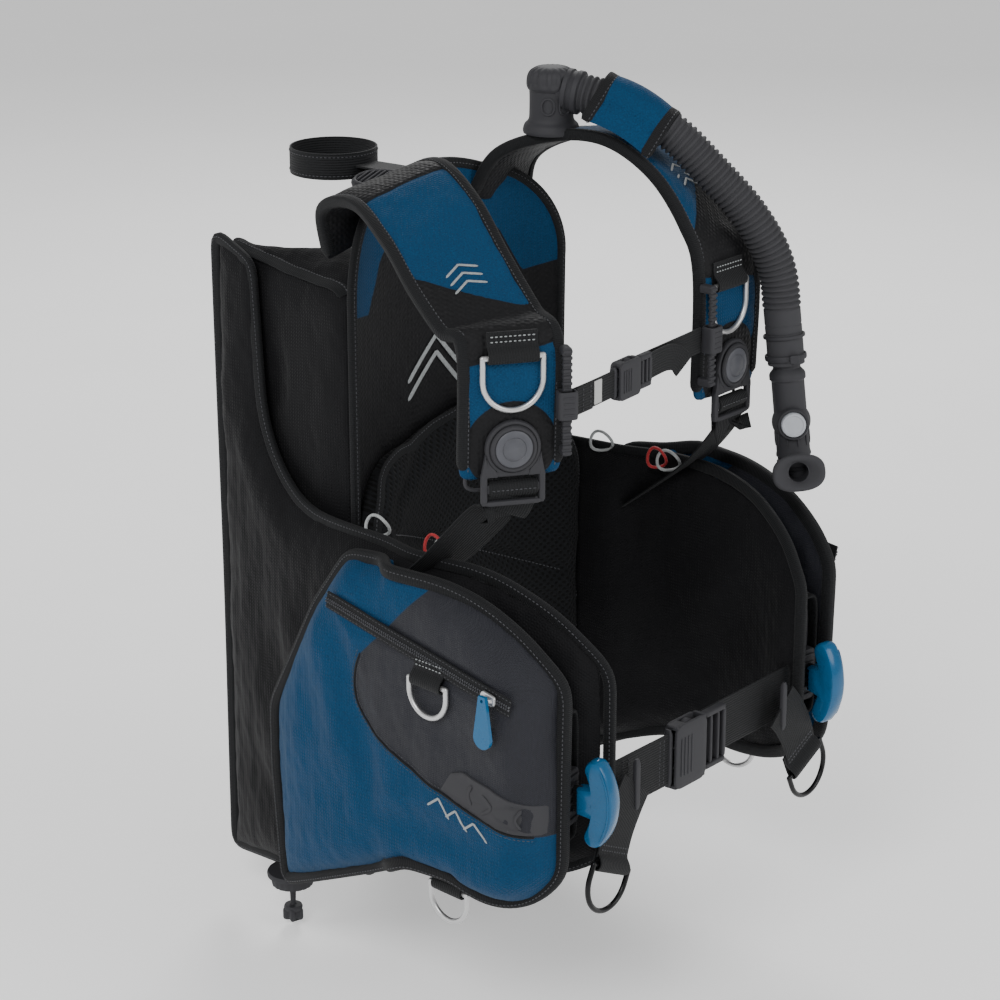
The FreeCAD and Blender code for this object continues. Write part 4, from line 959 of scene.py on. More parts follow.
def build_inflator():
    """Inflator: turned barrel, boss, nipple and end cap, a lofted mouthpiece and its buttons."""
    place = inflator_place()
    pieces = []
    body = Parts()
    body.add(lathe([(0, -3), (13, -3), (13, 4), (16.4, 8), (17.2, 10), (17.2, 14), (15.6, 16), (15.8, 70), (16, 84),
                    (16.6, 86), (16.6, 88), (15.4, 89), (15.4, 92), (16.6, 93), (16.6, 97), (15.4, 98), (15.4, 101),
                    (16.6, 102), (16.4, 108), (14.8, 112), (11.0, 112), (10.9, 100), (0, 100)], place))
    boss = shifted(place, 0, 0, 55.0, TO_FACE)
    body.add(lathe([(0, 2), (18.5, 2), (16.5, 11), (15.4, 14), (15.2, 19.5), (14.2, 21), (12.6, 21), (12.4, 8), (0, 8)],
                   boss))
    tube = shifted(place, 0, 0, 98.0, TO_FACE)
    body.add(lathe([(0, 0), (15.0, 0), (13.6, 14), (12.9, 18), (12.9, 33), (9.6, 33), (9.5, 6), (0, 6)], tube))
    rear = shifted(place, 0, 0, 30.0, TO_REAR)
    nipple = [(0, 0), (11, 8), (9, 13), (8, 14), (8, 17), (5.6, 17)]
    for step in range(3):
        z = 20.0 + 3.4 * step
        nipple += [(5.6, z), (4.7, z + 0.8), (4.7, z + 1.8), (5.6, z + 2.4)]
    body.add(lathe(nipple + [(5.6, 30.6), (4.4, 32), (2.6, 32), (2.4, 24), (0, 24)], rear))
    for turn in range(10):
        a = turn * np.pi / 5 + 0.1
        rib = shifted(place, 16.1 * math.cos(a), 16.1 * math.sin(a), 0)
        rail = np.array([inside(rib, (0, 0, z)) for z in (62.0, 66.0, 74.0, 78.0)])
        outwards = inside(rib, (math.cos(a), math.sin(a), 0)) - rib[0]
        body.add(carried(tapered(oval(2.0, 1.6), 4, 0.4, 0.4), rail, outwards))
    pieces.append(made("inflator_barrel", body, "hose", ("inflator_body",)))
    pieces.append(made("inflation_button", Parts().add(lathe(
        [(0, 14.5), (11.7, 14.5), (11.7, 22.5), (10.9, 24.4), (9.4, 24.8), (8.6, 24.2), (0, 24.9)],
        boss), "pale_acetal"),
        "inflate_button", ("inflate_button",)))
    pieces.append(made("exhaust_end_button", Parts().add(lathe(
        [(0, 106), (10.3, 106), (10.3, 116.5), (9.4, 118.6), (7.0, 119), (6.2, 118.2), (0, 118.4)], place)),
        "exhaust_button", ("exhaust_button",)))
    lip = [
        (32, 32, 2, 19), (32.6, 32.6, 2, 22), (31, 31, 2, 24), (32, 32, 2, 27), (40, 34, 2.2, 31),
        (48.6, 35.4, 2.4, 33.4),
           (50, 36, 2.5, 36), (48.4, 34.8, 2.4, 38.4), (44, 31, 2.3, 39), (38, 26, 2.2, 38.2), (30, 22, 2.1, 35.6),
           (21, 19.4, 2, 33.4), (19, 19, 2, 32), (19, 19, 2, 33.2), (26, 26, 2, 33.2), (26, 26, 2, 19), (32, 32, 2, 19)]
    pieces.append(made("mouth_lip", Parts().add(loops(lip, tube), "black_rubber"), "hose",
                       ("mouthpiece",), sharp=60))
    tie = Parts()
    for z, width in ((-7.0, 5.0), (-27.0, 3.0)):
        spot = shifted(place, 0, 0, z)
        a = turns(48)
        ring = inside(spot, np.column_stack([19.0 * np.cos(a), 19.0 * np.sin(a), np.zeros(48)]))
        tie.add(carried(oval(1.6, width, 4, 12), ring, np.broadcast_to(spot[1][2], ring.shape), closed=True))
    tie.add(plate(rounded(9, 8, 1.6), 5.0, shifted(shifted(place, 0, 0, -7.0, TO_FACE), 6, 0, 17.6)))
    pieces.append(made("hose_ties", tie, "hose"))
    return pieces


def build_elbow():
    """Shoulder elbow: turned outlet, a ribbed dome over its valve and two oval windows."""
    first = HOSE_ROUTE[0]
    along = unit(HOSE_ROUTE[1] - first)
    parts = Parts()
    outlet = facing(first - along * 30, along)
    parts.add(lathe([
        (0, 0), (17.5, 0), (18.5, 4), (18.5, 20), (20.6, 21), (20.6, 25), (19.0, 26), (19.6, 30), (20.4, 31),
                     (20.4, 35), (19, 36), (0, 36)], outlet))
    seat = first - along * 24
    spot = (np.array([seat[0], seat[1], 0.0]), np.eye(3))
    profile = np.array([(0, 462), (26, 462), (26.5, 465), (25, 470), (21.5, 474), (20.6, 480), (20.6, 500), (22, 503),
                        (23.2, 506), (23.2, 511), (22.2, 516), (19.5, 520), (14, 523), (7, 524), (0, 524)], float)
    profile = curve_through(profile[1:-1], 60)
    profile = np.concatenate([[(0, 462)], profile, [(0, 524.0)]])
    a = turns(96)
    ribs = np.clip(np.cos(a * 16) * 2.5, -1, 1)[None] * 0.5 + 0.5
    upper = np.clip((profile[:, 1:2] - 505) / 4, 0, 1) * np.clip(profile[:, 0:1] / 9 - 0.6, 0, 1)
    radius = profile[:, 0:1] - 1.3 * ribs * upper
    local = np.stack([radius * np.cos(a), radius * np.sin(a), np.broadcast_to(profile[:, 1:2], radius.shape)], -1)
    parts.add(grid(inside(spot, local), closed_v=True))
    for angle in (-150.0, -105.0, -60.0):
        way = np.array([math.cos(math.radians(angle)), math.sin(math.radians(angle)), 0])
        window = facing(spot[0] + way * 20.0 + (0, 0, 489), way)
        ring = inside(window, np.column_stack([oval(12, 15, 2.2, 28), np.full(28, 0.8)]))
        parts.add(carried(oval(2.2, 2.0), ring, np.broadcast_to(way, ring.shape), closed=True))
    made("shoulder_elbow_valve", parts, "vest", ("shoulder_elbow",))
    wrap = Parts()
    start, way = HOSE_ROUTE[1], unit(HOSE_ROUTE[2] - HOSE_ROUTE[1])
    lift = unit(np.cross(way, np.cross((0.15, -0.55, 1.0), way)))
    side = np.cross(lift, way)
    along_count, round_count = 15, 33
    t = np.linspace(-1, 1, round_count)
    angle = t * np.radians(118)
    reach = sizes("hose_radius") + 3.6
    across = np.sin(angle) * reach + np.sign(t) * np.clip(np.abs(t) - 0.75, 0, 1) * 52
    height = np.cos(angle) * reach - np.clip(np.abs(t) - 0.72, 0, 1) * 26
    spots = start + way * np.linspace(-24, 40, along_count)[:, None] - np.array([0, 0, 1.0]) * 1.5
    sag = 0.004 * (np.linspace(-24, 40, along_count) - 10)[:, None, None] ** 2 * np.array([0, 0.2, -1.0])
    outer = spots[:, None] + side * across[:, None] + lift * height[:, None] + sag
    normal = unit(side * np.sin(angle)[:, None] + lift * np.cos(angle)[:, None])
    inner = outer - normal * 2.6
    both = np.concatenate([outer, inner[:, ::-1]], axis=1)
    wrap.add(grid(both, closed_v=True, ends=True), "blue_pack_cloth")
    rims = Parts()
    for row in (0, along_count - 1):
        rim = evenly(outer[row] + normal * 0.3, 4.0)
        binding(rims, rim, between_rows(np.linspace(0, 1, len(rim)), np.linspace(0, 1, round_count), normal), width=11)
    cover = made("hose_cover", wrap, "vest", ("hose_wrap",))
    rim_piece = made("hose_cover_binding", rims, "vest")


# ------------------------------------------------------------------ padded bodies

def between(y, inner, outer):
    """Inner and outer x of a padded side piece at each y, from its plan."""
    a, b = np.array(sorted(inner), float), np.array(sorted(outer), float)
    return np.interp(y, a[:, 0], a[:, 1]), np.interp(y, b[:, 0], b[:, 1])


def cushion(distance, reach=34.0, least=0.25):
    """Quarter-circle law: how full a cushion is at that distance in from its sewn edge."""
    near = np.clip(distance / reach, 0, 1)
    return np.maximum(np.sqrt(1 - (1 - near) ** 2), least)


def soft_side(node, name, outline, inner, outer, both_faces, creases, kinds, panel, bag):
    """A left padded piece from its CAD skin, blown up, creased, and given its cloths."""
    piece = copied(node, name)

    def shape(points):
        low, high = between(points[:, 1], inner, outer)
        full = cushion(edge_distance(points[:, 1:], outline))
        base = (low + high) / 2 if both_faces else low
        points = points.copy()
        points[:, 0] = base + (points[:, 0] - base) * full
        return points

    mesh = blown_up(piece, shape, 1.5, bag)
    points, normals = vertices_of(mesh), normals_of(mesh)
    lift = slack(points, 1.1, 85.0) + slack(points[:, ::-1], 0.45, 24.0) + folds(points, creases)
    lift = np.where(lift > 0, lift * np.clip(edge_distance(points[:, 1:], outline) / 18, 0.1, 1), lift)
    set_vertices(mesh, points + normals * lift[:, None])
    mark(mesh, panel(vertices_of(mesh)))
    for kind in kinds:
        mesh.materials.append(bpy.data.materials[kind])
    return piece


def both_sides(left, parts, bag_name, trim_name, node):
    """A left bag, its mirrored right one, and the trim on each."""
    for mirror, word in ((1, "left"), (-1, "right")):
        bag = left
        if mirror == -1:
            bag = mirror_of(left, f"right_{bag_name}")
        settle(bag, "vest", (f"{word}_{node}",))
        made(f"{word}_{trim_name}", parts, "vest", mirror=mirror)


LOBE_INNER = [(-448, 141), (-385, 167), (-310, 176), (-268, 172), (-222, 152), (-158, 151.8), (-20, 123.5), (36, 113.5)]
LOBE_OUTER = [(-453, 150), (-432, 166), (-258, 198), (-95, 172), (40, 126)]
POCKET_INNER = [(-447, 196), (-441, 196.5), (-262, 228), (-256, 199.8), (-84, 183)]
POCKET_OUTER = [(-447, 211), (-432, 236), (-400, 243), (-200, 228), (-140, 214), (-84, 187)]
GREY_PANEL = [
    (-317, 131), (-296, 110), (-278, 92), (-260, 74), (-241, 55), (-232, 34), (-230, 17), (-235, 0), (-251, -14),
    (-283, -29), (-321, -43), (-356, -51), (-390, -58), (-443, -69), (-500, -76), (-500, 190), (-330, 190)]


def build_lobes():
    """Side air lobes: pack cloth bags, each with a binding on its edge."""
    side = outline_points(LOBE_SIDE, 6.0)
    creases = [((172, -120, 60), (186, -200, -40), 22, 3.2), ((160, -40, 40), (176, -120, -120), 26, 3.6),
               ((150, -30, -150), (180, -190, -190), 24, 3.2), ((155, -230, 110), (168, -300, -60), 26, 3.6),
               ((160, -400, 40), (172, -300, -90), 24, 3.2), ((150, -190, -60), (168, -280, -130), 24, 3.2),
               ((140, -10, 330), (150, -20, 180), 20, 2.6)]
    left = soft_side("left_lobe", "left_lobe_bag", side, LOBE_INNER, LOBE_OUTER, True, creases,
                     ["black_pack_cloth"], lambda p: np.full(len(p), -99.0), 4.5)
    low, high = between(side[:, 0], LOBE_INNER, LOBE_OUTER)
    edge = np.column_stack([(low + high) / 2, side])
    normals = np.column_stack([np.ones(len(edge)), np.zeros((len(edge), 2))])
    spots = edge - np.column_stack([np.zeros(len(edge)), unit(edge[:, 1:] - edge[:, 1:].mean(0)) * 4.0])
    parts = Parts()
    tape = smooth_rows(spots, 4, True)
    tangent = unit(np.roll(tape, -1, 0) - np.roll(tape, 1, 0))
    parts.add(carried(oval(12.0, 7.0, 2.8), tape, normals, True), "binding_tape")
    parts.add(stitches(tape + (3.55, 0, 0) + np.cross(tangent, normals) * 2.5, (1.0, 0, 0), True), "thread")
    both_sides(left, parts, "lobe_bag", "lobe_binding", "lobe")


def zip_place():
    """x runs forward to back along the zip and z is away from the pocket."""
    run = unit((-15.0, 200.0, 34.0))
    out = unit(POCKET_OUT - run * (POCKET_OUT @ run))
    return np.array([243.2, -402.0, 60.0]) + out * 0.3, np.stack([run, np.cross(out, run), out])


def keep_below_zip(mesh):
    """Holds the pocket's cloth just under its zip tape."""
    origin, axes = zip_place()
    rel = (vertices_of(mesh) - origin) @ axes.T
    beyond = np.maximum(np.abs(rel[:, 0] - 88) - 124, 0)
    limit = -1.0 + 0.4 * np.maximum(np.abs(rel[:, 1]) - 10, 0) + 0.3 * beyond
    rel[:, 2] = np.where(rel[:, 2] > -12, np.minimum(rel[:, 2], limit), rel[:, 2])
    set_vertices(mesh, origin + rel @ axes)


def build_pockets():
    """Cargo pockets: blue cloth with a coated grey front panel, piping, a patch and a chevron."""
    side = outline_points(POCKET_SIDE, 6.0)
    grey = outline_points(GREY_PANEL, 5.0)
    creases = [((232, -181, 107), (232, -223, 26), 15, 3.4), ((232, -223, 26), (240, -256, -98), 17, 4.6),
               ((240, -256, -98), (242, -453, -87), 16, 3.2), ((226, -141, 46), (232, -183, -60), 20, 2.6),
               ((224, -134, -120), (236, -256, -60), 20, 3.0), ((236, -240, -130), (240, -330, -80), 16, 2.4),
               ((238, -320, 40), (240, -380, -10), 22, 1.6)]
    left = soft_side("left_cargo_pocket", "left_pocket_bag", side, POCKET_INNER, POCKET_OUTER, False, creases,
                     ["pocket_cloths"],
                     lambda p: np.where(p[:, 0] > 100, edge_distance(p[:, 1:], grey), -99.0), 2.2)
    keep_below_zip(left.data)
    skin = Skin(left)
    parts = Parts()
    low, high = between(side[:, 0], POCKET_INNER, POCKET_OUTER)
    spots = np.column_stack([low + 0.17 * (high - low) + 2.0, side])
    spots[:, 1:] -= unit(side - side.mean(0)) * 4.0
    spots = smooth_rows(spots, 4, True)
    way = unit(np.roll(spots, -1, 0) - np.roll(spots, 1, 0))
    parts.add(carried(oval(13.0, 10.5, 2.8), spots, (1.0, 0, 0), True), "binding_tape")
    parts.add(stitches(spots + (5.3, 0, 0) + np.cross(way, (1.0, 0, 0)) * 2.6, (1.0, 0, 0), True), "thread")
    flat = evenly(curve_through(np.array(GREY_PANEL[4:14], float), 160), 3.0)
    ride, up = skin.from_side(flat, 0.2)
    ride, up = smooth_rows(ride, 3), unit(smooth_rows(up, 4))
    parts.add(carried(tapered(oval(2.6, 1.8), len(ride)), ride, up), "binding_tape")
    _, across, _ = ways(ride, up)
    for shift in (3.4, -3.4):
        parts.add(stitches(ride + across * shift + up * 0.15, up, False, 0.7), "thread")
    patch = np.array([(-341, -44), (-353, -25), (-367, -20), (-400, -26), (-440, -39), (-440, -66), (-390, -56)], float)
    rim = evenly(outline_points([tuple(p) for p in patch], 3.0), 3.0, True)
    middle = rim.mean(0)
    rings = []
    for share, lift in ((1.0, -0.6), (0.99, 1.4), (0.95, 1.9), (0.9, 1.3), (0.6, 1.3), (0.3, 1.3), (0.06, 1.3)):
        flat = middle + (rim - middle) * share
        ride, up = skin.from_side(flat, 0.0)
        rings.append(ride + (0.9972 * lift, 0.0748 * lift, 0))
    parts.add(grid(np.array(rings), closed_v=True, ends=True), "black_rubber")
    for start, turn in (((-372, -38), -1), ((-398, -43), 1), ((-420, -49), -1)):
        y, z = start
        bar = np.array([(y + 7 * turn, z + 9), (y - 3, z), (y + 7 * turn, z - 9)])
        ride, up = skin.from_side(curve_through(bar, 15), 1.7)
        parts.add(carried(tapered(oval(3.2, 1.2), 15), ride, (0.9972, 0.0748, 0)), "black_rubber")
    for row in range(3):
        bar = np.array([(-325 - row * 22, -64 - 4.5 * row), (-338 - row * 22, -54 - 4.5 * row),
                        (-351 - row * 22, -70 - 4.5 * row)], float)
        flat = evenly(bar, 2.0)
        ride, up = skin.from_side(flat, 0.3)
        parts.add(carried(tapered(oval(2.2, 0.9, 3), len(ride)), ride, up), "reflective_thread")
    both_sides(left, parts, "pocket_bag", "pocket_trim", "cargo_pocket")


def build_air_cell():
    """Back air cell: a horseshoe bag round the cylinder, plump and loosely creased."""
    piece = copied("air_cell", "air_cell_bag")

    mesh = blown_up(piece, lambda points: points, 1.5, 3.5, cell=1.5)
    points, normals = vertices_of(mesh), normals_of(mesh)
    clear = np.clip((np.hypot(points[:, 0], points[:, 1]) - 101) / 12, 0, 1)
    creases = [((-135, 20, 300), (-140, 10, 60), 16, 4.0), ((-125, 34, 120), (-140, -60, -120), 20, 4.0),
               ((-140, -60, 330), (-130, -20, 180), 18, 3.6), ((-130, 20, -20), (-128, 34, -200), 16, 3.2),
               ((135, 20, 300), (140, 10, 60), 16, 4.0), ((125, 34, 120), (140, -60, -120), 20, 4.0),
               ((140, -60, 330), (130, -20, 180), 18, 3.6), ((130, 20, -20), (128, 34, -200), 16, 3.2)]
    lift = slack(points, 1.6, 95.0) + slack(points[:, ::-1], 0.5, 26.0) + folds(points, creases)
    lift = np.where(lift > 0.8, 0.8, lift) * clear
    set_vertices(mesh, points + normals * lift[:, None])
    mesh.materials.append(bpy.data.materials["black_pack_cloth"])
    settle(piece, "vest", ("air_cell",))
    skin = Skin(piece)
    parts = Parts()
    for z in (366.0, -229.0):
        line = [(-150, -150), (-146, -80), (-128, -10), (-118, 34)]
        for sign in (1, -1):
            path = evenly(curve_through([(x * sign, y, z) for x, y in line], 80), 5.0)
            spots, up = skin.near(path, 0.5)
            way = unit(np.array([-sign * 0.5, 0.0, math.copysign(1.0, z)]))
            binding(parts, spots, np.broadcast_to(way, spots.shape).copy())
    for sign in (1, -1):
        path = evenly(np.array([(sign * 112.0, 36.0, z) for z in (362, -226)]), 5.0)
        spots, up = skin.near(path, 0.4)
        binding(parts, spots, up)
    made("air_cell_binding", parts, "vest")


def build_back_pad():
    """Lumbar pad: foam under spacer mesh, with sewn channels that hold it down."""
    piece = copied("back_pad", "back_pad_cushion")
    outline = outline_points([
        (-120, -130), (120, -130), (142, -121, 150, -98), (150, 120), (120, 186, 30, 204), (-56, 184),
        (-128, 160, -150, 90), (-150, -98)], 6.0)

    def shape(points):
        rear = -426.96 + np.sqrt(np.maximum(307.96 ** 2 - points[:, 0] ** 2, 1.0)) - 4
        full = cushion(edge_distance(points[:, ::2], outline), 30.0, 0.35)
        points = points.copy()
        points[:, 1] = rear + (points[:, 1] - rear) * full
        return points

    mesh = blown_up(piece, shape, 1.0, 2.5)
    points, normals = vertices_of(mesh), normals_of(mesh)
    channels = [((-118, -190, 120), (118, -190, 20), 9, 6.0), ((-118, -190, 40), (118, -190, -60), 9, 6.0),
                ((0, -160, 190), (-130, -190, 130), 8, 4.0), ((-110, -190, -50), (90, -190, -116), 8, 4.0)]
    flat = points * (1, 0, 1)
    lift = folds(flat, [(np.array(a) * (1, 0, 1), np.array(b) * (1, 0, 1), w, d) for a, b, w, d in channels])
    front = np.clip(-normals[:, 1] * 2, 0, 1)
    set_vertices(mesh, points + normals * (np.minimum(lift, 1.2) * front + slack(points, 0.6, 60.0))[:, None])
    mesh.materials.append(bpy.data.materials["spacer_mesh"])
    settle(piece, "vest", ("back_pad",))
    skin = Skin(piece)
    parts = Parts()
    rim = evenly(outline, 4.0, True)
    rim = rim - unit(rim - rim.mean(0)) * 7.0
    spots, up = skin.cast(np.column_stack([rim[:, 0], np.full(len(rim), -400.0), rim[:, 1]]), (0, 1, 0), 0.4)
    binding(parts, spots, unit(up * 0.4 + (0, -1.0, 0)), closed=True)
    for a, b, _, _ in channels[:2]:
        line = evenly(np.array([a, b], float), 4.0)
        spots, up = skin.cast(line + (0, -200, 0), (0, 1, 0), 0.1)
        parts.add(stitches(spots, np.broadcast_to((0, -1.0, 0), spots.shape), False, 1.0), "thread")
    made("back_pad_binding", parts, "vest")


def panel_depth(x):
    return -426.96 + np.sqrt(307.96 ** 2 - np.clip(np.abs(x), 0, 170) ** 2)


def build_back_panel():
    """Yoke: one curved sheet of pack cloth over its board, with a coloured collar and bound edges."""
    outline = outline_points([
        (-110, -235), (110, -235), (138, -223, 150, -190), (150, 330), (132, 392, 66, 428), (0, 440, -66, 428),
        (-132, 392, -150, 330), (-150, -190), (-138, -223, -110, -235)], 7.0)
    middle = np.array([0.0, 150.0])
    shares = np.linspace(1.0, 0.02, 60)
    flat = middle + (outline - middle) * shares[:, None, None]
    rear = np.stack([flat[..., 0], panel_depth(flat[..., 0]), flat[..., 1]], -1)
    dent = 2.6 + slack(rear.reshape(-1, 3), 0.8, 50.0).reshape(flat.shape[:2]) * (1 - shares[:, None] ** 8)
    front = rear - np.stack([np.zeros_like(dent), dent + 1.4, np.zeros_like(dent)], -1)
    rows = np.concatenate([rear[::-1], front])
    parts = Parts().add(grid(rows, closed_v=True, ends=True), "strap_cloths")
    piece = made("back_panel_sheet", parts, "vest", ("back_panel",))
    points = vertices_of(piece.data)
    collar = np.array([(-1, 470), (-1, 449), (85, 362), (109, 320), (165, 330), (165, 470)], float)
    blue = edge_distance(np.column_stack([np.abs(points[:, 0]), points[:, 2]]), collar)
    mark(piece.data, -blue)
    trim = Parts()
    rim = evenly(outline, 4.0, True)
    rim = rim - unit(rim - middle) * 3.0
    path = np.column_stack([rim[:, 0], panel_depth(rim[:, 0]) - 2.2, rim[:, 1]])
    trim.add(carried(oval(10, 6.4, 2.8), path, (0, -1.0, 0), True), "binding_tape")
    trim.add(stitches(path + (0, -3.2, 0), (0, -1.0, 0), True), "thread")
    chevron = np.array([(-38, 236), (5, 274), (44, 230)], float)
    for drop in (0.0, 17.0):
        line = evenly(chevron - (0, drop), 2.0)
        path = np.column_stack([line[:, 0], panel_depth(line[:, 0]) - 4.8, line[:, 1]])
        trim.add(carried(tapered(oval(4.6, 1.2, 3), len(path)), path, (0, -1.0, 0)), "reflective_thread")
    made("back_panel_trim", trim, "vest")


# ------------------------------------------------------------------ shoulder straps

def strap_surface(side, rows=150):
    """A strap's inner and outer edge lines, its middle, and the ways across and out of it."""
    stations = STRAPS[side]
    inner, outer = curve_through(stations[:, 0], rows), curve_through(stations[:, 1], rows)
    middle = (inner + outer) / 2
    across = unit(outer - inner)
    tangent = unit(np.gradient(middle, axis=0))
    sign = -1 if side == "right" else 1
    lift = unit(np.cross(tangent, across)) * sign
    if lift[-1] @ FACE_NORMAL[side] < 0:
        lift = -lift
    return inner, outer, middle, across, lift


def build_strap(side):
    """Padded strap: superellipse sections from edge to edge, two cloths, bound and stitched."""
    rows = 150
    inner, outer, middle, across, lift = strap_surface(side, rows)
    half = np.linalg.norm(outer - inner, axis=1) / 2
    section = oval(2, 2, 3.4, 56)
    t = np.linspace(0, 7, rows)
    near = np.clip(np.minimum(t / 0.1, (7 - t) / 0.12), 0, 1)
    round_end = np.sqrt(1 - (1 - near) ** 2) * 0.9 + 0.1
    thick = 6.2 * round_end
    seam = cushion((1 - np.abs(section[:, 0])) * 45, 14.0, 0.7)
    reach = (half * (0.86 + 0.14 * round_end))[:, None, None]
    points = (middle[:, None] + across[:, None] * (section[None, :, 0:1] * reach)
              + lift[:, None] * (section[None, :, 1:2] * seam[None, :, None] * thick[:, None, None]))
    name = f"{side}_strap_cushion"
    piece = made(name, Parts().add(grid(points, closed_v=True, ends=True), "strap_cloths"), "vest",
                 (f"{side}_shoulder_strap",), sharp=80)
    finer = piece.modifiers.new("Finer", "SUBSURF")
    finer.levels = 1
    finer.render_levels = 1
    mesh = applied(piece)
    spots, normals = vertices_of(mesh), normals_of(mesh)
    nearest = ((spots[:, None] - middle[None]) ** 2).sum(-1).argmin(1)
    u = ((spots - middle[nearest]) * across[nearest]).sum(1) / half[nearest]
    walked = run_lengths(middle)
    here = walked[nearest] + ((spots - middle[nearest]) * unit(np.gradient(middle, axis=0))[nearest]).sum(1)
    upper = np.interp(5.2 - 0.7 * (u + 1), t, walked)
    lower = np.interp(6.0 + 0.085 * (u + 1), t, walked)
    swivel = chest_place(side, 254.0)[0]
    band = 41.0 - np.linalg.norm(spots - swivel, axis=1)
    value = np.maximum(np.minimum(here - upper, lower - here), np.maximum(np.interp(2.25, t, walked) - here, band))
    value = np.maximum(value, np.where(((spots - middle[nearest]) * lift[nearest]).sum(1) < -1.0, 5.0, -99.0))
    groove = -1.1 * np.exp(-(value / 2.2) ** 2)
    dimples = slack(spots, 0.7, 60.0) + slack(spots[:, ::-1], 0.3, 22.0)
    set_vertices(mesh, spots + normals * (groove + dimples)[:, None])
    mark(mesh, value)
    mesh.shade_smooth()
    trim = Parts()
    for edge, inward in ((inner, 1), (outer, -1)):
        path = (edge + across * inward * 3.4)[2:-2]
        path = evenly(path, 4.0)
        at = np.linspace(0, rows - 1, len(path))
        rows_up, rows_across = (between_rows(at, np.arange(rows), vectors) for vectors in (lift, across))
        trim.add(carried(tapered(oval(11.0, 11.2, 2.8), len(path), 0.6, 0.02), path, rows_up), "binding_tape")
        trim.add(stitches(path + rows_across * inward * 3.2 + rows_up * 5.25, rows_up), "thread")
    spot = np.interp(4.05, t, np.arange(rows))
    k = int(spot)
    centre = middle[k] + lift[k] * 6.0
    along = unit(np.gradient(middle, axis=0))[k]
    for drop in (-7.0, 2.0, 11.0):
        line = np.array([centre - across[k] * 16 + along * (drop + 8), centre + along * drop, centre + across[k] * 16
                         + along * (drop + 8)])
        row = evenly(line, np.linalg.norm(line[0] - line[1]) / 10)[:21]
        trim.add(carried(tapered(oval(2.2, 1.1, 3), 21), row, lift[k]), "reflective_thread")
    made(f"{side}_strap_trim", trim, "vest")


def build_straps():
    for side in ("right", "left"):
        build_strap(side)


# ------------------------------------------------------------------ webbing and hardware

def sewn(parts, path, across, width, thick=None, kind="harness_webbing", closed=False):
    """A flat strip whose width lies along the given direction, wherever the path turns."""
    thick = thick or sizes("webbing_thickness")
    path = np.asarray(path, float)
    tangent, _, _ = ways(path, (0.3, 0.5, 0.7), closed)
    parts.add(carried(oval(width, thick, 7.0, 28), path, np.cross(tangent, np.broadcast_to(across, path.shape)),
                      closed), kind)


def folded(parts, place, profile, width, thick=None, kind="harness_webbing", step=1.5):
    """Webbing folded along a (y, z) profile of a frame, its width along the frame's x."""
    line = evenly(curve_through(np.array([(0, y, z) for y, z in profile], float), 80), step)
    sewn(parts, inside(place, line), place[1][0], width, thick, kind)


def laid(place, line, count):
    """A smooth line through local points of a frame, its points 3 mm apart."""
    return evenly(inside(place, curve_through(line, count)), 3.0)


def row_of(parts, place, start, end, thick=0.9, kind="reflective_thread", pitch=None):
    """A row of stitches between two local points of a frame."""
    line = inside(place, np.linspace(start, end, 12))
    parts.add(stitches(line, place[1][2], False, thick, pitch), kind)


def bar(parts, place, start, end, wide, deep, kind="black_acetal", power=4.0):
    """A straight moulded bar between two local points, its ends rounded."""
    line = inside(place, np.linspace(start, end, 14))
    parts.add(carried(tapered(oval(wide, deep, power, 20), 14, 0.55, 0.14), line, place[1][2]), kind)


def build_rings():
    """Rings in drawn steel or black coated steel, and the folded webbing that holds each one."""
    for name, (place, width) in ring_places().items():
        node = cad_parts[f"{name}_ring"].data
        node.materials.clear()
        node.materials.append(bpy.data.materials["black_coated_steel" if "waist" in name else "stainless_steel"])
        node.shade_smooth()
        node.set_sharp_from_angle(angle=math.radians(50))
        parts = Parts()
        wide = width - 13.5
        reach = 9.0 if "hem" in name else 22.0
        folded(parts, place, [(reach, -3.4), (11, -2.2), (6, 1.8), (2.2, 4.2), (-2.4, 3.8), (-4.6, 0.4), (-3.2, -3.0),
                              (2, -4.6), (reach - 2, -4.9)], wide)
        kind = "thread" if "waist" in name else "reflective_thread"
        for y in (9.0, 13.5, 18.0) if reach > 10 else (7.6,):
            height = -0.9 if y > 8 else 1.3
            row_of(parts, place, (-wide / 2 + 4, y, height), (wide / 2 - 4, y, height), 1.2, kind)
        made(f"{name}_keeper", parts, "vest")
    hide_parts("ring_keepers")


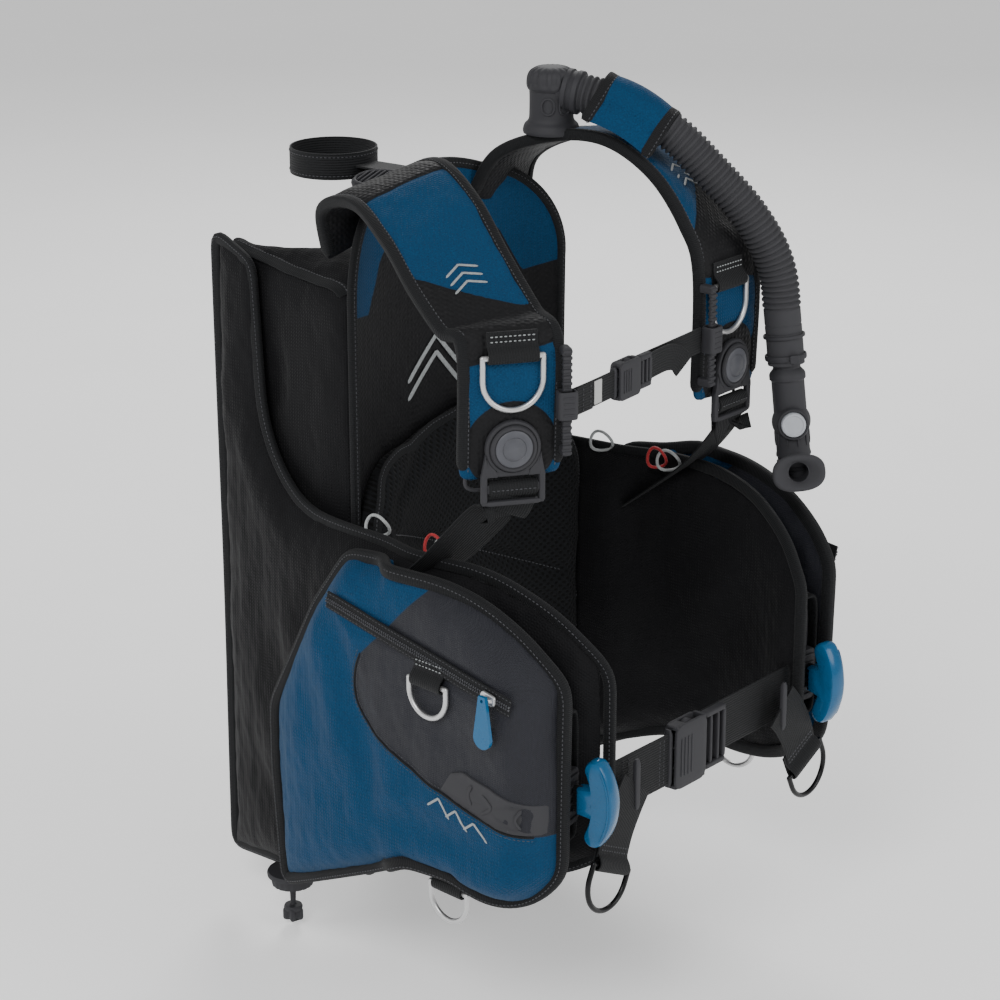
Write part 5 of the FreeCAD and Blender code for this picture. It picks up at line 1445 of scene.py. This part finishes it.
def build_swivels():
    """Swivel buckles: capped button, ring, ladder frame, and the shoulder webbing through it."""
    ends = {"right": ((-172, -343, 194), (-184, -298, 144), (-176, -230, 86)),
            "left": ((166, -349, 194), (180, -302, 144), (174, -232, 86))}
    caps = Parts()
    for side in ("right", "left"):
        place = chest_place(side, 254.0)
        caps.add(lathe([
            (0, 0.4), (16.8, 0.4), (16.8, 6.2), (20.4, 6.4), (20.6, 7.6), (19.6, 9.0), (17.6, 9.4), (16.8, 8.4),
                        (0, 8.4)], place, 56))
        caps.add(lathe([
            (0, 7.8), (16.3, 7.8), (16.3, 8.8), (15.3, 9.6), (10.8, 9.9), (10.2, 9.4), (9.6, 9.9), (0, 10.3)],
                       place, 56), "grey_acetal")
        body = Parts()
        body.add(lathe([
            (17.4, 1), (24, 1), (24.6, 2), (24.6, 4.8), (23.8, 6), (21.6, 6.2), (21.0, 5.4), (17.4, 5.4)], place,
                       56, True))
        for sign in (1, -1):
            corner = np.array([(28, -23), (24.4, -4), (20.6, -13), (15, -19), (13, -25), (28, -25)]) * (sign, 1)
            body.add(plate(evenly(corner, 2.0, True), 5.2, shifted(place, 0, 0, 1.0), 0.9))
            bar(body, place, (sign * 25.6, -20, 3.6), (sign * 25.6, -50, 3.6), 5.6, 6.0)
        bar(body, place, (-16, -22, 3.4), (16, -22, 3.4), 6.0, 5.0)
        bar(body, place, (-26, -35.5, 3.8), (26, -35.5, 3.8), 8.6, 4.6)
        bar(body, place, (-26, -48.4, 3.8), (26, -48.4, 3.8), 4.6, 6.4)
        for step in range(5):
            half, y = 15 - 1.2 * step, -33.4 - 1.1 * step
            bar(body, place, (-half, y, 6.2), (half, y, 6.2), 0.6, 0.8)
        made(f"{side}_swivel_frame", body, f"{side}_swivel", (f"{side}_swivel_buckle",))
        loop = Parts()
        folded(loop, place, [(-29.5, 0.2), (-31, 5.4), (-35.6, 7.6), (-40.2, 5.4), (-43.5, 1.4), (-47, -0.6)], 43)
        row_of(loop, place, (-18, -36, 8.7), (18, -36, 8.7), 0.9, "thread")
        made(f"{side}_swivel_loop", loop, f"{side}_swivel")
        down = Parts()
        slot = inside(place, (0, -43.5, 3.0))
        slack_end = inside(place, (0, -62, 3.0))
        line = curve_through([slot, slack_end * 0.5 + np.array(ends[side][0]) * 0.5, *ends[side]], 90)
        sewn(down, evenly(line, 3.0), place[1][0], 44)
        made(f"{side}_shoulder_tail", down, None)
        strip_piece = bpy.data.objects[f"{side}_shoulder_tail"]
        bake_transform(strip_piece)
        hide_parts("shoulder_webbing")
    made("swivel_caps", caps, "vest", ("swivel_buttons",))


def socket_parts(parts, place, start, end, tall, deep):
    """Socket half of a side release buckle: two shells, a floor bar, ribs and open windows."""
    middle, wide = (start + end) / 2, end - start
    for z in (-deep / 2, deep / 2 - 3.2):
        spot = shifted(place, middle, 0, z)
        parts.add(plate(rounded(wide, tall, tall * 0.14), 3.2, spot, 1.0, 0.6 if z > 0 else 0.0))
    for sign in (1, -1):
        bar(parts, place, (start + 1.5, sign * tall * 0.16, 0), (end - 1.5, sign * tall * 0.16, 0), 3.0, deep - 4)
        y = sign * (tall / 2 - 2.4)
        bar(parts, place, (start + 1, y, 0), (start + wide * 0.36, y, 0), 4.4, deep - 1.5)
        bar(parts, place, (end - 5, y, 0), (end - 0.5, y, 0), 4.4, deep - 1.5)
    for step in range(4):
        x = start + wide * (0.16 + 0.11 * step)
        bar(parts, place, (x, -tall * 0.3, deep / 2 + 0.5), (x, tall * 0.3, deep / 2 + 0.5), 1.8, 1.4)
    bar(parts, place, (start - 1.5, -tall / 2 + 3, -1), (start - 1.5, tall / 2 - 3, -1), 4.5, deep * 0.55)


def plug_parts(parts, place, start, end, tall, deep):
    """Plug half: a ladder body, its spine and two sprung prongs that show in the socket's windows."""
    wide = end - start
    for share, size_ in ((0.34, 4.0), (0.66, 3.4), (0.94, 4.6)):
        x = start + wide * share
        bar(parts, place, (x, -tall / 2 + 3, 0), (x, tall / 2 - 3, 0), size_, deep * 0.62)
    for sign in (1, -1):
        bar(parts, place, (start + 2, sign * (tall / 2 - 3.2), 0), (end, sign * (tall / 2 - 3.2), 0), 5.4, deep * 0.7)
        line = curve_through([(start + 4, sign * tall * 0.34, 0), (start - wide * 0.4, sign * tall * 0.40, 0),
                              (start - wide * 0.75, sign * tall * 0.485, 0),
                              (start - wide * 0.95, sign * tall * 0.30, 0)], 24)
        parts.add(carried(tapered(oval(tall * 0.12, deep * 0.5, 3), 24, 0.5, 0.1), inside(place, line), place[1][2]))
    bar(parts, place, (start - wide * 0.8, 0, 0), (start + 4, 0, 0), tall * 0.12, deep * 0.4)


def build_chest_strap():
    """Rails, their sliders, the chest webbing and its side release buckle."""
    run = RAIL_SPOT["left"] - RAIL_SPOT["right"]
    length = np.linalg.norm(run)
    along = unit(run)
    out = unit(np.cross(along, (0, 0, 1.0)))
    place = (RAIL_SPOT["right"] + (0, 0, 290.0), np.stack([along, np.cross(out, along), out]))
    rails = Parts()
    for side in ("right", "left"):
        normal = FACE_NORMAL[side]
        spot = facing(RAIL_SPOT[side] + (0, 0, 292.0), normal)
        bar(rails, spot, (0, -47.6, -0.4), (0, 47.6, -0.4), 7.6, 3.4)
        for step in range(17):
            y = -45 + 5.6 * step
            bar(rails, spot, (-4.4, y, 0.0), (4.4, y, 0.0), 3.2, 5.0)
        for y in (-44.0, 44.0):
            bar(rails, shifted(spot, 0, y, 0, (1, 3, -2)), (0, 1.5, 0), (0, -13.4, 0), 9.0, 8.0)
        clip = Parts()
        base = facing(RAIL_SPOT[side] + (0, 0, 290.0), normal)
        ring = inside(base, np.column_stack([oval(15.4, 12.4, 4.5, 40), np.zeros(40)])[:, [0, 2, 1]])
        clip.add(carried(oval(24.6, 2.6, 5.0, 24), ring, unit(ring - base[0]), closed=True))
        for step in (-7.5, -2.5, 2.5, 7.5):
            bar(clip, base, (-5.0, step, 7.2), (5.0, step, 7.2), 1.6, 1.6)
        made(f"{side}_rail_clip", clip, f"{side}_sternum", (f"{side}_sternum_slider",))
    made("chest_rails", rails, "vest", ("sternum_rails",))
    web = Parts()
    line = [(9.0, 0, 0), (30, 0, 0.6), (55, 0, 0.4), (77, 0, 0)]
    sewn(web, laid(place, line, 50), place[1][1], 24)
    sewn(web, laid(place, [(11, 0, 2.4), (24, 0, 2.6), (36, 0, 2.6)], 30), place[1][1], 24)
    row_of(web, place, (20, -9, 3.9), (20, 9, 3.9), 0.9, "thread")
    row_of(web, place, (32, -9, 3.9), (32, 9, 3.9), 0.9, "thread")
    web.add(plate(rounded(12, 21, 1.0), 0.7, shifted(place, 47, 0, 1.3), 0.2), "white_label")
    made("right_chest_webbing", web, "right_sternum", ("right_sternum_webbing",))
    web = Parts()
    line = [(116, 0, -7.7), (140, 0, -7.7), (length - 40, 0, -7.6), (length - 9, 0, -7.6)]
    sewn(web, laid(place, line, 50), place[1][1], 24)
    made("left_chest_webbing", web, "left_sternum", ("left_sternum_webbing",))
    tail = [(133, 0, -1.0), (150, 0, -2.6), (172, 0, -2.6), (186, -4, -1.0), (194, -13, 1.0)]
    web = Parts()
    sewn(web, laid(place, tail, 50), place[1][1], 24)
    made("chest_webbing_tail", web, "sternum_plug")
    socket = Parts()
    socket_parts(socket, place, 78, 112, 34, 12)
    made("chest_socket", socket, "right_sternum", ("sternum_buckle_socket",))
    plug = Parts()
    plug_parts(plug, place, 113, 135, 32, 10)
    made("chest_plug", plug, "sternum_plug", ("sternum_buckle_plug",))


def build_waist():
    """Waist webbing, its tails and the large side release buckle."""
    place = facing((0, -447.0, -50.0), (0, -1, 0))
    socket = Parts()
    socket_parts(socket, place, -50, -4, 62, 15)
    made("waist_socket", socket, "vest", ("waist_buckle_socket",))
    plug = Parts()
    plug_parts(plug, place, -3, 31, 58, 12.5)
    made("waist_plug", plug, "waist_plug", ("waist_buckle_plug",))
    web = Parts()
    line = [(-140, 0, -0.5), (-120, 0, -0.6), (-90, 0, -0.5), (-51, 0, 0)]
    sewn(web, laid(place, line, 60), (0, 0, 1.0), 50)
    line = [(4, 0, -9.0), (60, 0, -9.3), (141, 0, -9.1), (150, 0, -7.0)]
    sewn(web, laid(place, line, 60), (0, 0, 1.0), 50)
    for x in (-120.0, -112.0, -66.0, -60.0):
        row_of(web, place, (x, -20, 0.7), (x, 20, 0.7), 0.9, "thread")
    for sign in (1, -1):
        line = [(sign * 112, 0, 9.6), (sign * 124, -14, 10.4), (sign * 138, -36, 10.4), (sign * 147, -58, 10.2)]
        path = laid(place, line, 60)
        slant = unit(np.array([0.90 * sign, 0, 0.44]))
        sewn(web, path, slant, 46)
        bar(web, place, (sign * 113, -24, 10.6), (sign * 113, 24, 10.6), 6.5, 5.0)
    made("waist_straps", web, "vest", ("waist_webbing",))


def sleeve_place(mirror):
    flip = np.array([mirror, 1, 1])
    origin = (np.array([198, -258, -26.0]) + OUTWARD * 0.6) * flip
    down = np.cross(OUTWARD, SLIDE)
    return origin, np.stack([SLIDE * flip, down, OUTWARD * flip])


def build_pouches():
    """Weight sleeves, their pouches with a ribbed front plate, webbing tabs and blue grips."""
    place = sleeve_place(1)
    sleeve = Parts()
    stations = np.linspace(2, 176, 40)
    section = np.column_stack([np.zeros(64), oval(120, 28, 6.0, 64)])
    swell = 1 + 0.012 * np.sin(stations / 13.0)
    outer = np.stack([section * (1, s, s) + (x, 0, 14.0) for x, s in zip(stations, swell)])
    hollow = outer[::-1] * (1, 0.965, 1)
    hollow[..., 2] = 14.0 + (hollow[..., 2] - 14.0) * 0.88
    sleeve.add(grid(inside(place, np.concatenate([outer, hollow])), closed_v=True, ends=True), "black_cordura")
    mouth = inside(place, section * (1, 0.99, 0.97) + (173.5, 0, 14.0))
    sleeve.add(carried(oval(3.8, 11, 2.8), mouth, np.broadcast_to(place[1][0], mouth.shape), True), "binding_tape")
    sleeve.add(stitches(inside(place, section * (1, 1.018, 1.06) + (170.5, 0, 14.0)), unit(
        (mouth - mouth.mean(0))), True), "thread")
    pouch = Parts()
    section = np.column_stack([np.zeros(56), oval(110, 21, 5.0, 56)])
    rows = np.stack([section * (1, s, s) + (x, 0, 14.0)
                     for x, s in ((8, 0.8), (10, 0.95), (16, 1), (90, 1.01), (168, 1), (171, 0.9))])
    pouch.add(grid(inside(place, rows), closed_v=True, ends=True), "black_cordura")
    front = shifted(place, 179.0, 18.0, 14.0, (2, 3, 1))
    pouch.add(plate(rounded(52, 21, 5.0), 10.0, shifted(front, 0, 0, -7.0), 1.6))
    for step in range(6):
        x = -20 + 8.0 * step
        bar(pouch, front, (x, -8, 3.4), (x, 8, 3.4), 3.0, 2.4)
    web = shifted(place, 0, 18.0, 14.0)
    line = inside(web, np.array([(180, 0, 1.0), (186, 0, 0.6), (197, 0, 0.2)]))
    sewn(pouch, evenly(curve_through(line, 20), 1.5), place[1][1], 25, 4.0)
    grip = Parts()
    outline = outline_points([
        (0, -12), (14, -14), (8, -29), (12, -39, 24, -37), (36, 0, 24, 37), (12, 39, 8, 29), (14, 14),
                              (0, 12)], 1.6)
    spot = shifted(place, 188.2, 18.0, 5.0)
    grip.add(plate(outline, 18.0, spot, 4.2, 0.8), "blue_grip_plastic")
    for step in (-7.0, 0.0, 7.0):
        line = np.array([(30.2 - 0.9 * abs(step) / 7, step - 1.0, z) for z in np.linspace(3, 15, 12)])
        grip.add(carried(tapered(oval(2.2, 2.0), 12), inside(spot, line), place[1][0]), "blue_grip_plastic")
    rim = outline_points([(24, -33), (32, 0, 24, 33)], 1.6, False)
    line = np.column_stack([rim, np.full(len(rim), 18.2)])
    grip.add(carried(tapered(oval(2.0, 1.2), len(line)), inside(spot, line), place[1][2]), "blue_grip_plastic")
    for mirror, word in ((1, "left"), (-1, "right")):
        made(f"{word}_sleeve_cloth", sleeve, "vest", ("pouch_sleeves",) if mirror == 1 else (), mirror)
        made(f"{word}_pouch_cloth", pouch, f"{word}_pouch", (f"{word}_weight_pouch",), mirror)
        made(f"{word}_grip_bow", grip, f"{word}_pouch", (f"{word}_pouch_grip",), mirror)


def build_zips():
    """Pocket zips: tape, two rows of coil, slider and a teardrop pull with a hole."""
    place = zip_place()
    out = place[1][2]
    tape = Parts()
    x = np.linspace(-22, 206, 80)
    line = np.column_stack([x, np.zeros(80), 1.2 + 0.25 * np.sin(x / 17.0)])
    tape.add(carried(oval(16.5, 2.3, 5.0, 24), inside(place, line), out), "binding_tape")
    for sign in (1, -1):
        coil = inside(place, line + (0, sign * 1.4, 1.5))
        tape.add(stitches(coil, out, False, 2.2, sizes("tooth_pitch"), 1.7), "zip_coil")
        tape.add(stitches(inside(place, line + (0, sign * 6.4, 1.0)), out, False, 0.8), "thread")
    slider = Parts()
    slider.add(plate(rounded(17, 10, 3.4), 3.0, shifted(place, 0, 0, 3.2), 0.9, 0.5), "stainless_steel")
    arch = inside(place, curve_through([(-6, 0, 5.6), (-2, 0, 8.6), (3, 0, 8.6), (6.5, 0, 5.6)], 24))
    slider.add(carried(tapered(oval(3.4, 1.6), 24, 0.7, 0.1), arch, out), "stainless_steel")
    for mirror, word in ((1, "left"), (-1, "right")):
        made(f"{word}_zip_tape", tape, "vest", ("zipper_tapes",) if mirror == 1 else (), mirror)
        made(f"{word}_zip_pull_body", slider, f"{word}_zip", (f"{word}_zip_slider",), mirror)
        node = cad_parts[f"{word}_pull_tab"].data
        node.materials.clear()
        node.materials.append(bpy.data.materials["blue_grip_plastic"])


def build_small_loops():
    """Small moulded loops on the straps, and red and white cords looped through the lobes' top edges."""
    parts = Parts()
    for side, x in (("right", -14.0), ("left", 16.0)):
        place = chest_place(side, 226.0)
        ring = inside(shifted(place, x * 1.9, -2, -6.0), np.column_stack([oval(26, 17, 2.6, 40), np.zeros(40)]))
        parts.add(carried(oval(3.4, 2.6), ring, np.broadcast_to(place[1][2], ring.shape), True))
    made("small_strap_loops", parts, "vest")
    cords = Parts()
    for number, (y, z) in enumerate(((-200, 150), (-268, 147), (-282, 147))):
        for sign in (1, -1):
            place = facing((sign * 163.0, y, z - 5.0), (1.0, 0.3, 0.1))
            ring = inside(place, np.column_stack([oval(23 - 4 * (number % 2), 20, 2.2, 44), 3.0 * np.sin(
                np.linspace(0, 4 * np.pi, 44, endpoint=False))]))
            kind = "red_cord" if number == 1 else "white_thread"
            cords.add(carried(oval(3.0, 3.0, 2, 14), ring, np.broadcast_to(place[1][2], ring.shape), True), kind)
    made("cord_loops", cords, "vest")


def build_band():
    """Tank band in webbing with its cam buckle, the valve loop and the ribs of the back plate."""
    band = Parts()
    a = np.radians(np.linspace(323, 323 + 254, 150))
    wide = 93.25
    line = np.column_stack([wide * np.cos(a), wide * np.sin(a), np.zeros(150)])
    sewn(band, line, (0, 0, 1.0), 50, 2.0)
    for z in (-19.0, 19.0):
        row = line * (1.0125, 1.0125, 0) + (0, 0, z)
        band.add(stitches(row[4:-4], unit(row[4:-4] * (1, 1, 0)), False, 0.9), "thread")
    made("tank_band_webbing", band, "vest", ("tank_band",))
    angle = math.radians(110)
    way = np.array([math.cos(angle), math.sin(angle), 0])
    place = facing(way * 94.45, way)
    base = Parts()
    base.add(plate(rounded(62, 54, 7), 4.0, place, 1.0, 0.4))
    for y in (-25.2, 25.2):
        bar(base, place, (-26, y, 7), (27, y, 7), 3.6, 9.0)
    for step in range(4):
        bar(base, place, (-24 + 5.5 * step, -20, 4.6), (-24 + 5.5 * step, 20, 4.6), 2.0, 1.6)
    made("cam_base", base, "vest", ("cam_buckle",))
    loop = Parts()
    a = turns(90)
    ring = np.column_stack([41.0 * np.cos(a), 41.0 * np.sin(a), np.full(90, 426.5)])
    sewn(loop, ring, (0, 0, 1.0), 25, 2.0, closed=True)
    for z in (417.5, 435.5):
        row = ring * (1.03, 1.03, 0) + (0, 0, z)
        loop.add(stitches(row, unit(row * (1, 1, 0)), True, 0.8), "thread")
    tie = [(0, -42.4, 426.5), (0, -70, 427), (0, -100, 427), (0, -124, 426.5)]
    sewn(loop, evenly(curve_through(tie, 60), 3.0), (1.0, 0, 0), 30, 1.9)
    made("valve_loop_webbing", loop, "vest", ("valve_loop",))
    ribs = Parts()
    for degrees in (-44, -30, -15, 0, 15, 30, 44):
        turn = math.radians(-90 + degrees)
        way = np.array([math.cos(turn), math.sin(turn), 0])
        spot = facing(way * 94.2, -way)
        bar(ribs, spot, (0, -140, 0), (0, -34, 0), 5.0, 1.6)
        bar(ribs, spot, (0, 34, 0), (0, 200, 0), 5.0, 1.6)
    made("back_plate_ribs", ribs, "vest")
    for name in ("backpack_plate", "cam_lever"):
        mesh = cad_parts[name].data
        mesh.materials.clear()
        mesh.materials.append(bpy.data.materials["black_acetal"])


def build_valves():
    """Dump valve with its stem and lobed knob, and the shoulder valve's grille."""
    place = (np.array([-138.0, -56.0, 0.0]), np.eye(3))
    valve = Parts()
    a = turns(80)
    profile = np.array([(3, -252), (24, -252), (25, -254), (24.6, -257), (21.4, -258.4), (21, -262), (20.2, -266.6),
                        (17, -268), (6, -268), (3, -267)], float)
    ribs = 1 - 0.035 * (np.cos(a * 20) > 0.3)[None] * (np.abs(profile[:, 1:] + 263) < 4.2)
    rows = np.stack([profile[:, :1] * ribs * np.cos(a), profile[:, :1] * ribs * np.sin(a),
                     np.broadcast_to(profile[:, 1:], (10, 80))], -1)
    valve.add(grid(inside(place, rows), closed_u=True, closed_v=True))
    made("dump_valve_body", valve, "vest", ("dump_valve",))
    knob = Parts()
    knob.add(lathe([(0, -256), (5.2, -256), (3.4, -270), (2.6, -288), (4.4, -291), (0, -291)], place, 24))
    a = turns(70)
    reach = 8.4 + 2.1 * np.cos(5 * a)
    outline = np.column_stack([reach * np.cos(a), reach * np.sin(a)])
    knob.add(plate(outline, 14.0, shifted(place, 0, 0, -306.0), 3.0))
    knob.add(lathe([(0, -289), (8.5, -290), (9.4, -292), (8.8, -295), (0, -296)], place, 32))
    made("dump_knob_lobed", knob, "dump_pull", ("dump_knob",))
    normal = unit((-0.30, 0.08, 0.95))
    spot = facing((-108, -158, 443), normal, (-1.0, 0, 0))
    grille = Parts()
    grille.add(plate(oval(58, 34, 2.3, 60), 5.0, spot, 1.2, 0.6))
    ring = inside(spot, np.column_stack([oval(50, 27, 2.3, 60), np.full(60, 5.6)]))
    grille.add(carried(oval(3.0, 2.4), ring, np.broadcast_to(normal, ring.shape), True))
    for step in range(7):
        x = -18 + 6.0 * step
        half = 11.5 * math.sqrt(1 - (x / 26.0) ** 2)
        bar(grille, spot, (x, -half, 6.4), (x, half, 6.4), 2.0, 1.8)
    made("shoulder_valve_grille", grille, "vest", ("shoulder_valve",))


# ------------------------------------------------------------------ operators

class VEST_OT_stage(bpy.types.Operator):
    """Builds the materials, floor, camera and lights"""
    bl_idname = "vest.stage"
    bl_label = "Stage"

    def execute(self, context):
        make_materials()
        build_stage()
        return {"FINISHED"}


class VEST_OT_hose(bpy.types.Operator):
    """Builds the corrugated hose, its elbow, its cover and the inflator"""
    bl_idname = "vest.hose"
    bl_label = "Hose and inflator"

    def execute(self, context):
        hose, path, length = build_hose()
        riders = build_inflator()
        build_elbow()
        return {"FINISHED"}


class VEST_OT_lobes(bpy.types.Operator):
    """Builds the two side air lobes"""
    bl_idname = "vest.lobes"
    bl_label = "Side lobes"

    def execute(self, context):
        build_lobes()
        return {"FINISHED"}


class VEST_OT_pockets(bpy.types.Operator):
    """Builds the two cargo pockets"""
    bl_idname = "vest.pockets"
    bl_label = "Cargo pockets"

    def execute(self, context):
        build_pockets()
        return {"FINISHED"}


class VEST_OT_back(bpy.types.Operator):
    """Builds the back air cell, the back panel and its pad"""
    bl_idname = "vest.back"
    bl_label = "Back cell, panel and pad"

    def execute(self, context):
        build_air_cell()
        build_back_panel()
        build_back_pad()
        return {"FINISHED"}


class VEST_OT_straps(bpy.types.Operator):
    """Builds the two padded shoulder straps"""
    bl_idname = "vest.straps"
    bl_label = "Shoulder straps"

    def execute(self, context):
        build_straps()
        return {"FINISHED"}


class VEST_OT_rings(bpy.types.Operator):
    """Builds the rings and the folded webbing that holds them"""
    bl_idname = "vest.rings"
    bl_label = "Rings and keepers"

    def execute(self, context):
        build_rings()
        build_small_loops()
        return {"FINISHED"}


class VEST_OT_swivels(bpy.types.Operator):
    """Builds the swivel buckles and the shoulder webbing"""
    bl_idname = "vest.swivels"
    bl_label = "Swivel buckles"

    def execute(self, context):
        build_swivels()
        return {"FINISHED"}


class VEST_OT_chest(bpy.types.Operator):
    """Builds the chest rails, sliders, webbing and buckle"""
    bl_idname = "vest.chest"
    bl_label = "Chest strap"

    def execute(self, context):
        build_chest_strap()
        return {"FINISHED"}


class VEST_OT_waist(bpy.types.Operator):
    """Builds the waist webbing and its buckle"""
    bl_idname = "vest.waist"
    bl_label = "Waist strap"

    def execute(self, context):
        build_waist()
        return {"FINISHED"}


class VEST_OT_pouches(bpy.types.Operator):
    """Builds the weight sleeves, pouches and grips"""
    bl_idname = "vest.pouches"
    bl_label = "Weight pouches"

    def execute(self, context):
        build_pouches()
        return {"FINISHED"}


class VEST_OT_zips(bpy.types.Operator):
    """Builds the pocket zips and their pulls"""
    bl_idname = "vest.zips"
    bl_label = "Pocket zips"

    def execute(self, context):
        build_zips()
        return {"FINISHED"}


class VEST_OT_band(bpy.types.Operator):
    """Builds the tank band, cam buckle and valve loop"""
    bl_idname = "vest.band"
    bl_label = "Tank band"

    def execute(self, context):
        build_band()
        return {"FINISHED"}


class VEST_OT_valves(bpy.types.Operator):
    """Builds the dump valve, its knob and the shoulder valve"""
    bl_idname = "vest.valves"
    bl_label = "Valves"

    def execute(self, context):
        build_valves()
        return {"FINISHED"}


OPERATORS = (VEST_OT_stage, VEST_OT_hose, VEST_OT_lobes, VEST_OT_pockets, VEST_OT_back, VEST_OT_straps, VEST_OT_rings,
             VEST_OT_swivels, VEST_OT_chest, VEST_OT_waist, VEST_OT_pouches, VEST_OT_zips, VEST_OT_band, VEST_OT_valves)


class VEST_PT_panel(bpy.types.Panel):
    """Sizes, colours and one button for each group of pieces"""
    bl_label = "Buoyancy compensator vest"
    bl_idname = "VEST_PT_panel"
    bl_space_type = "VIEW_3D"
    bl_region_type = "UI"
    bl_category = "Vest"

    def draw(self, context):
        for group in (context.scene.vest_sizes, context.scene.vest_colours):
            for name in group.__annotations__:
                self.layout.prop(group, name)
        for operator in OPERATORS:
            self.layout.operator(operator.bl_idname)


CLASSES = (VestSizes, VestColours, *OPERATORS, VEST_PT_panel)


def register():
    for item in CLASSES:
        bpy.utils.register_class(item)
    bpy.types.Scene.vest_sizes = bpy.props.PointerProperty(type=VestSizes)
    bpy.types.Scene.vest_colours = bpy.props.PointerProperty(type=VestColours)


def unregister():
    del bpy.types.Scene.vest_colours
    del bpy.types.Scene.vest_sizes
    for item in reversed(CLASSES):
        bpy.utils.unregister_class(item)


def main():
    register()
    for operator in OPERATORS:
        group, name = operator.bl_idname.split(".")
        getattr(getattr(bpy.ops, group), name)()


if __name__ == "__main__":
    main()
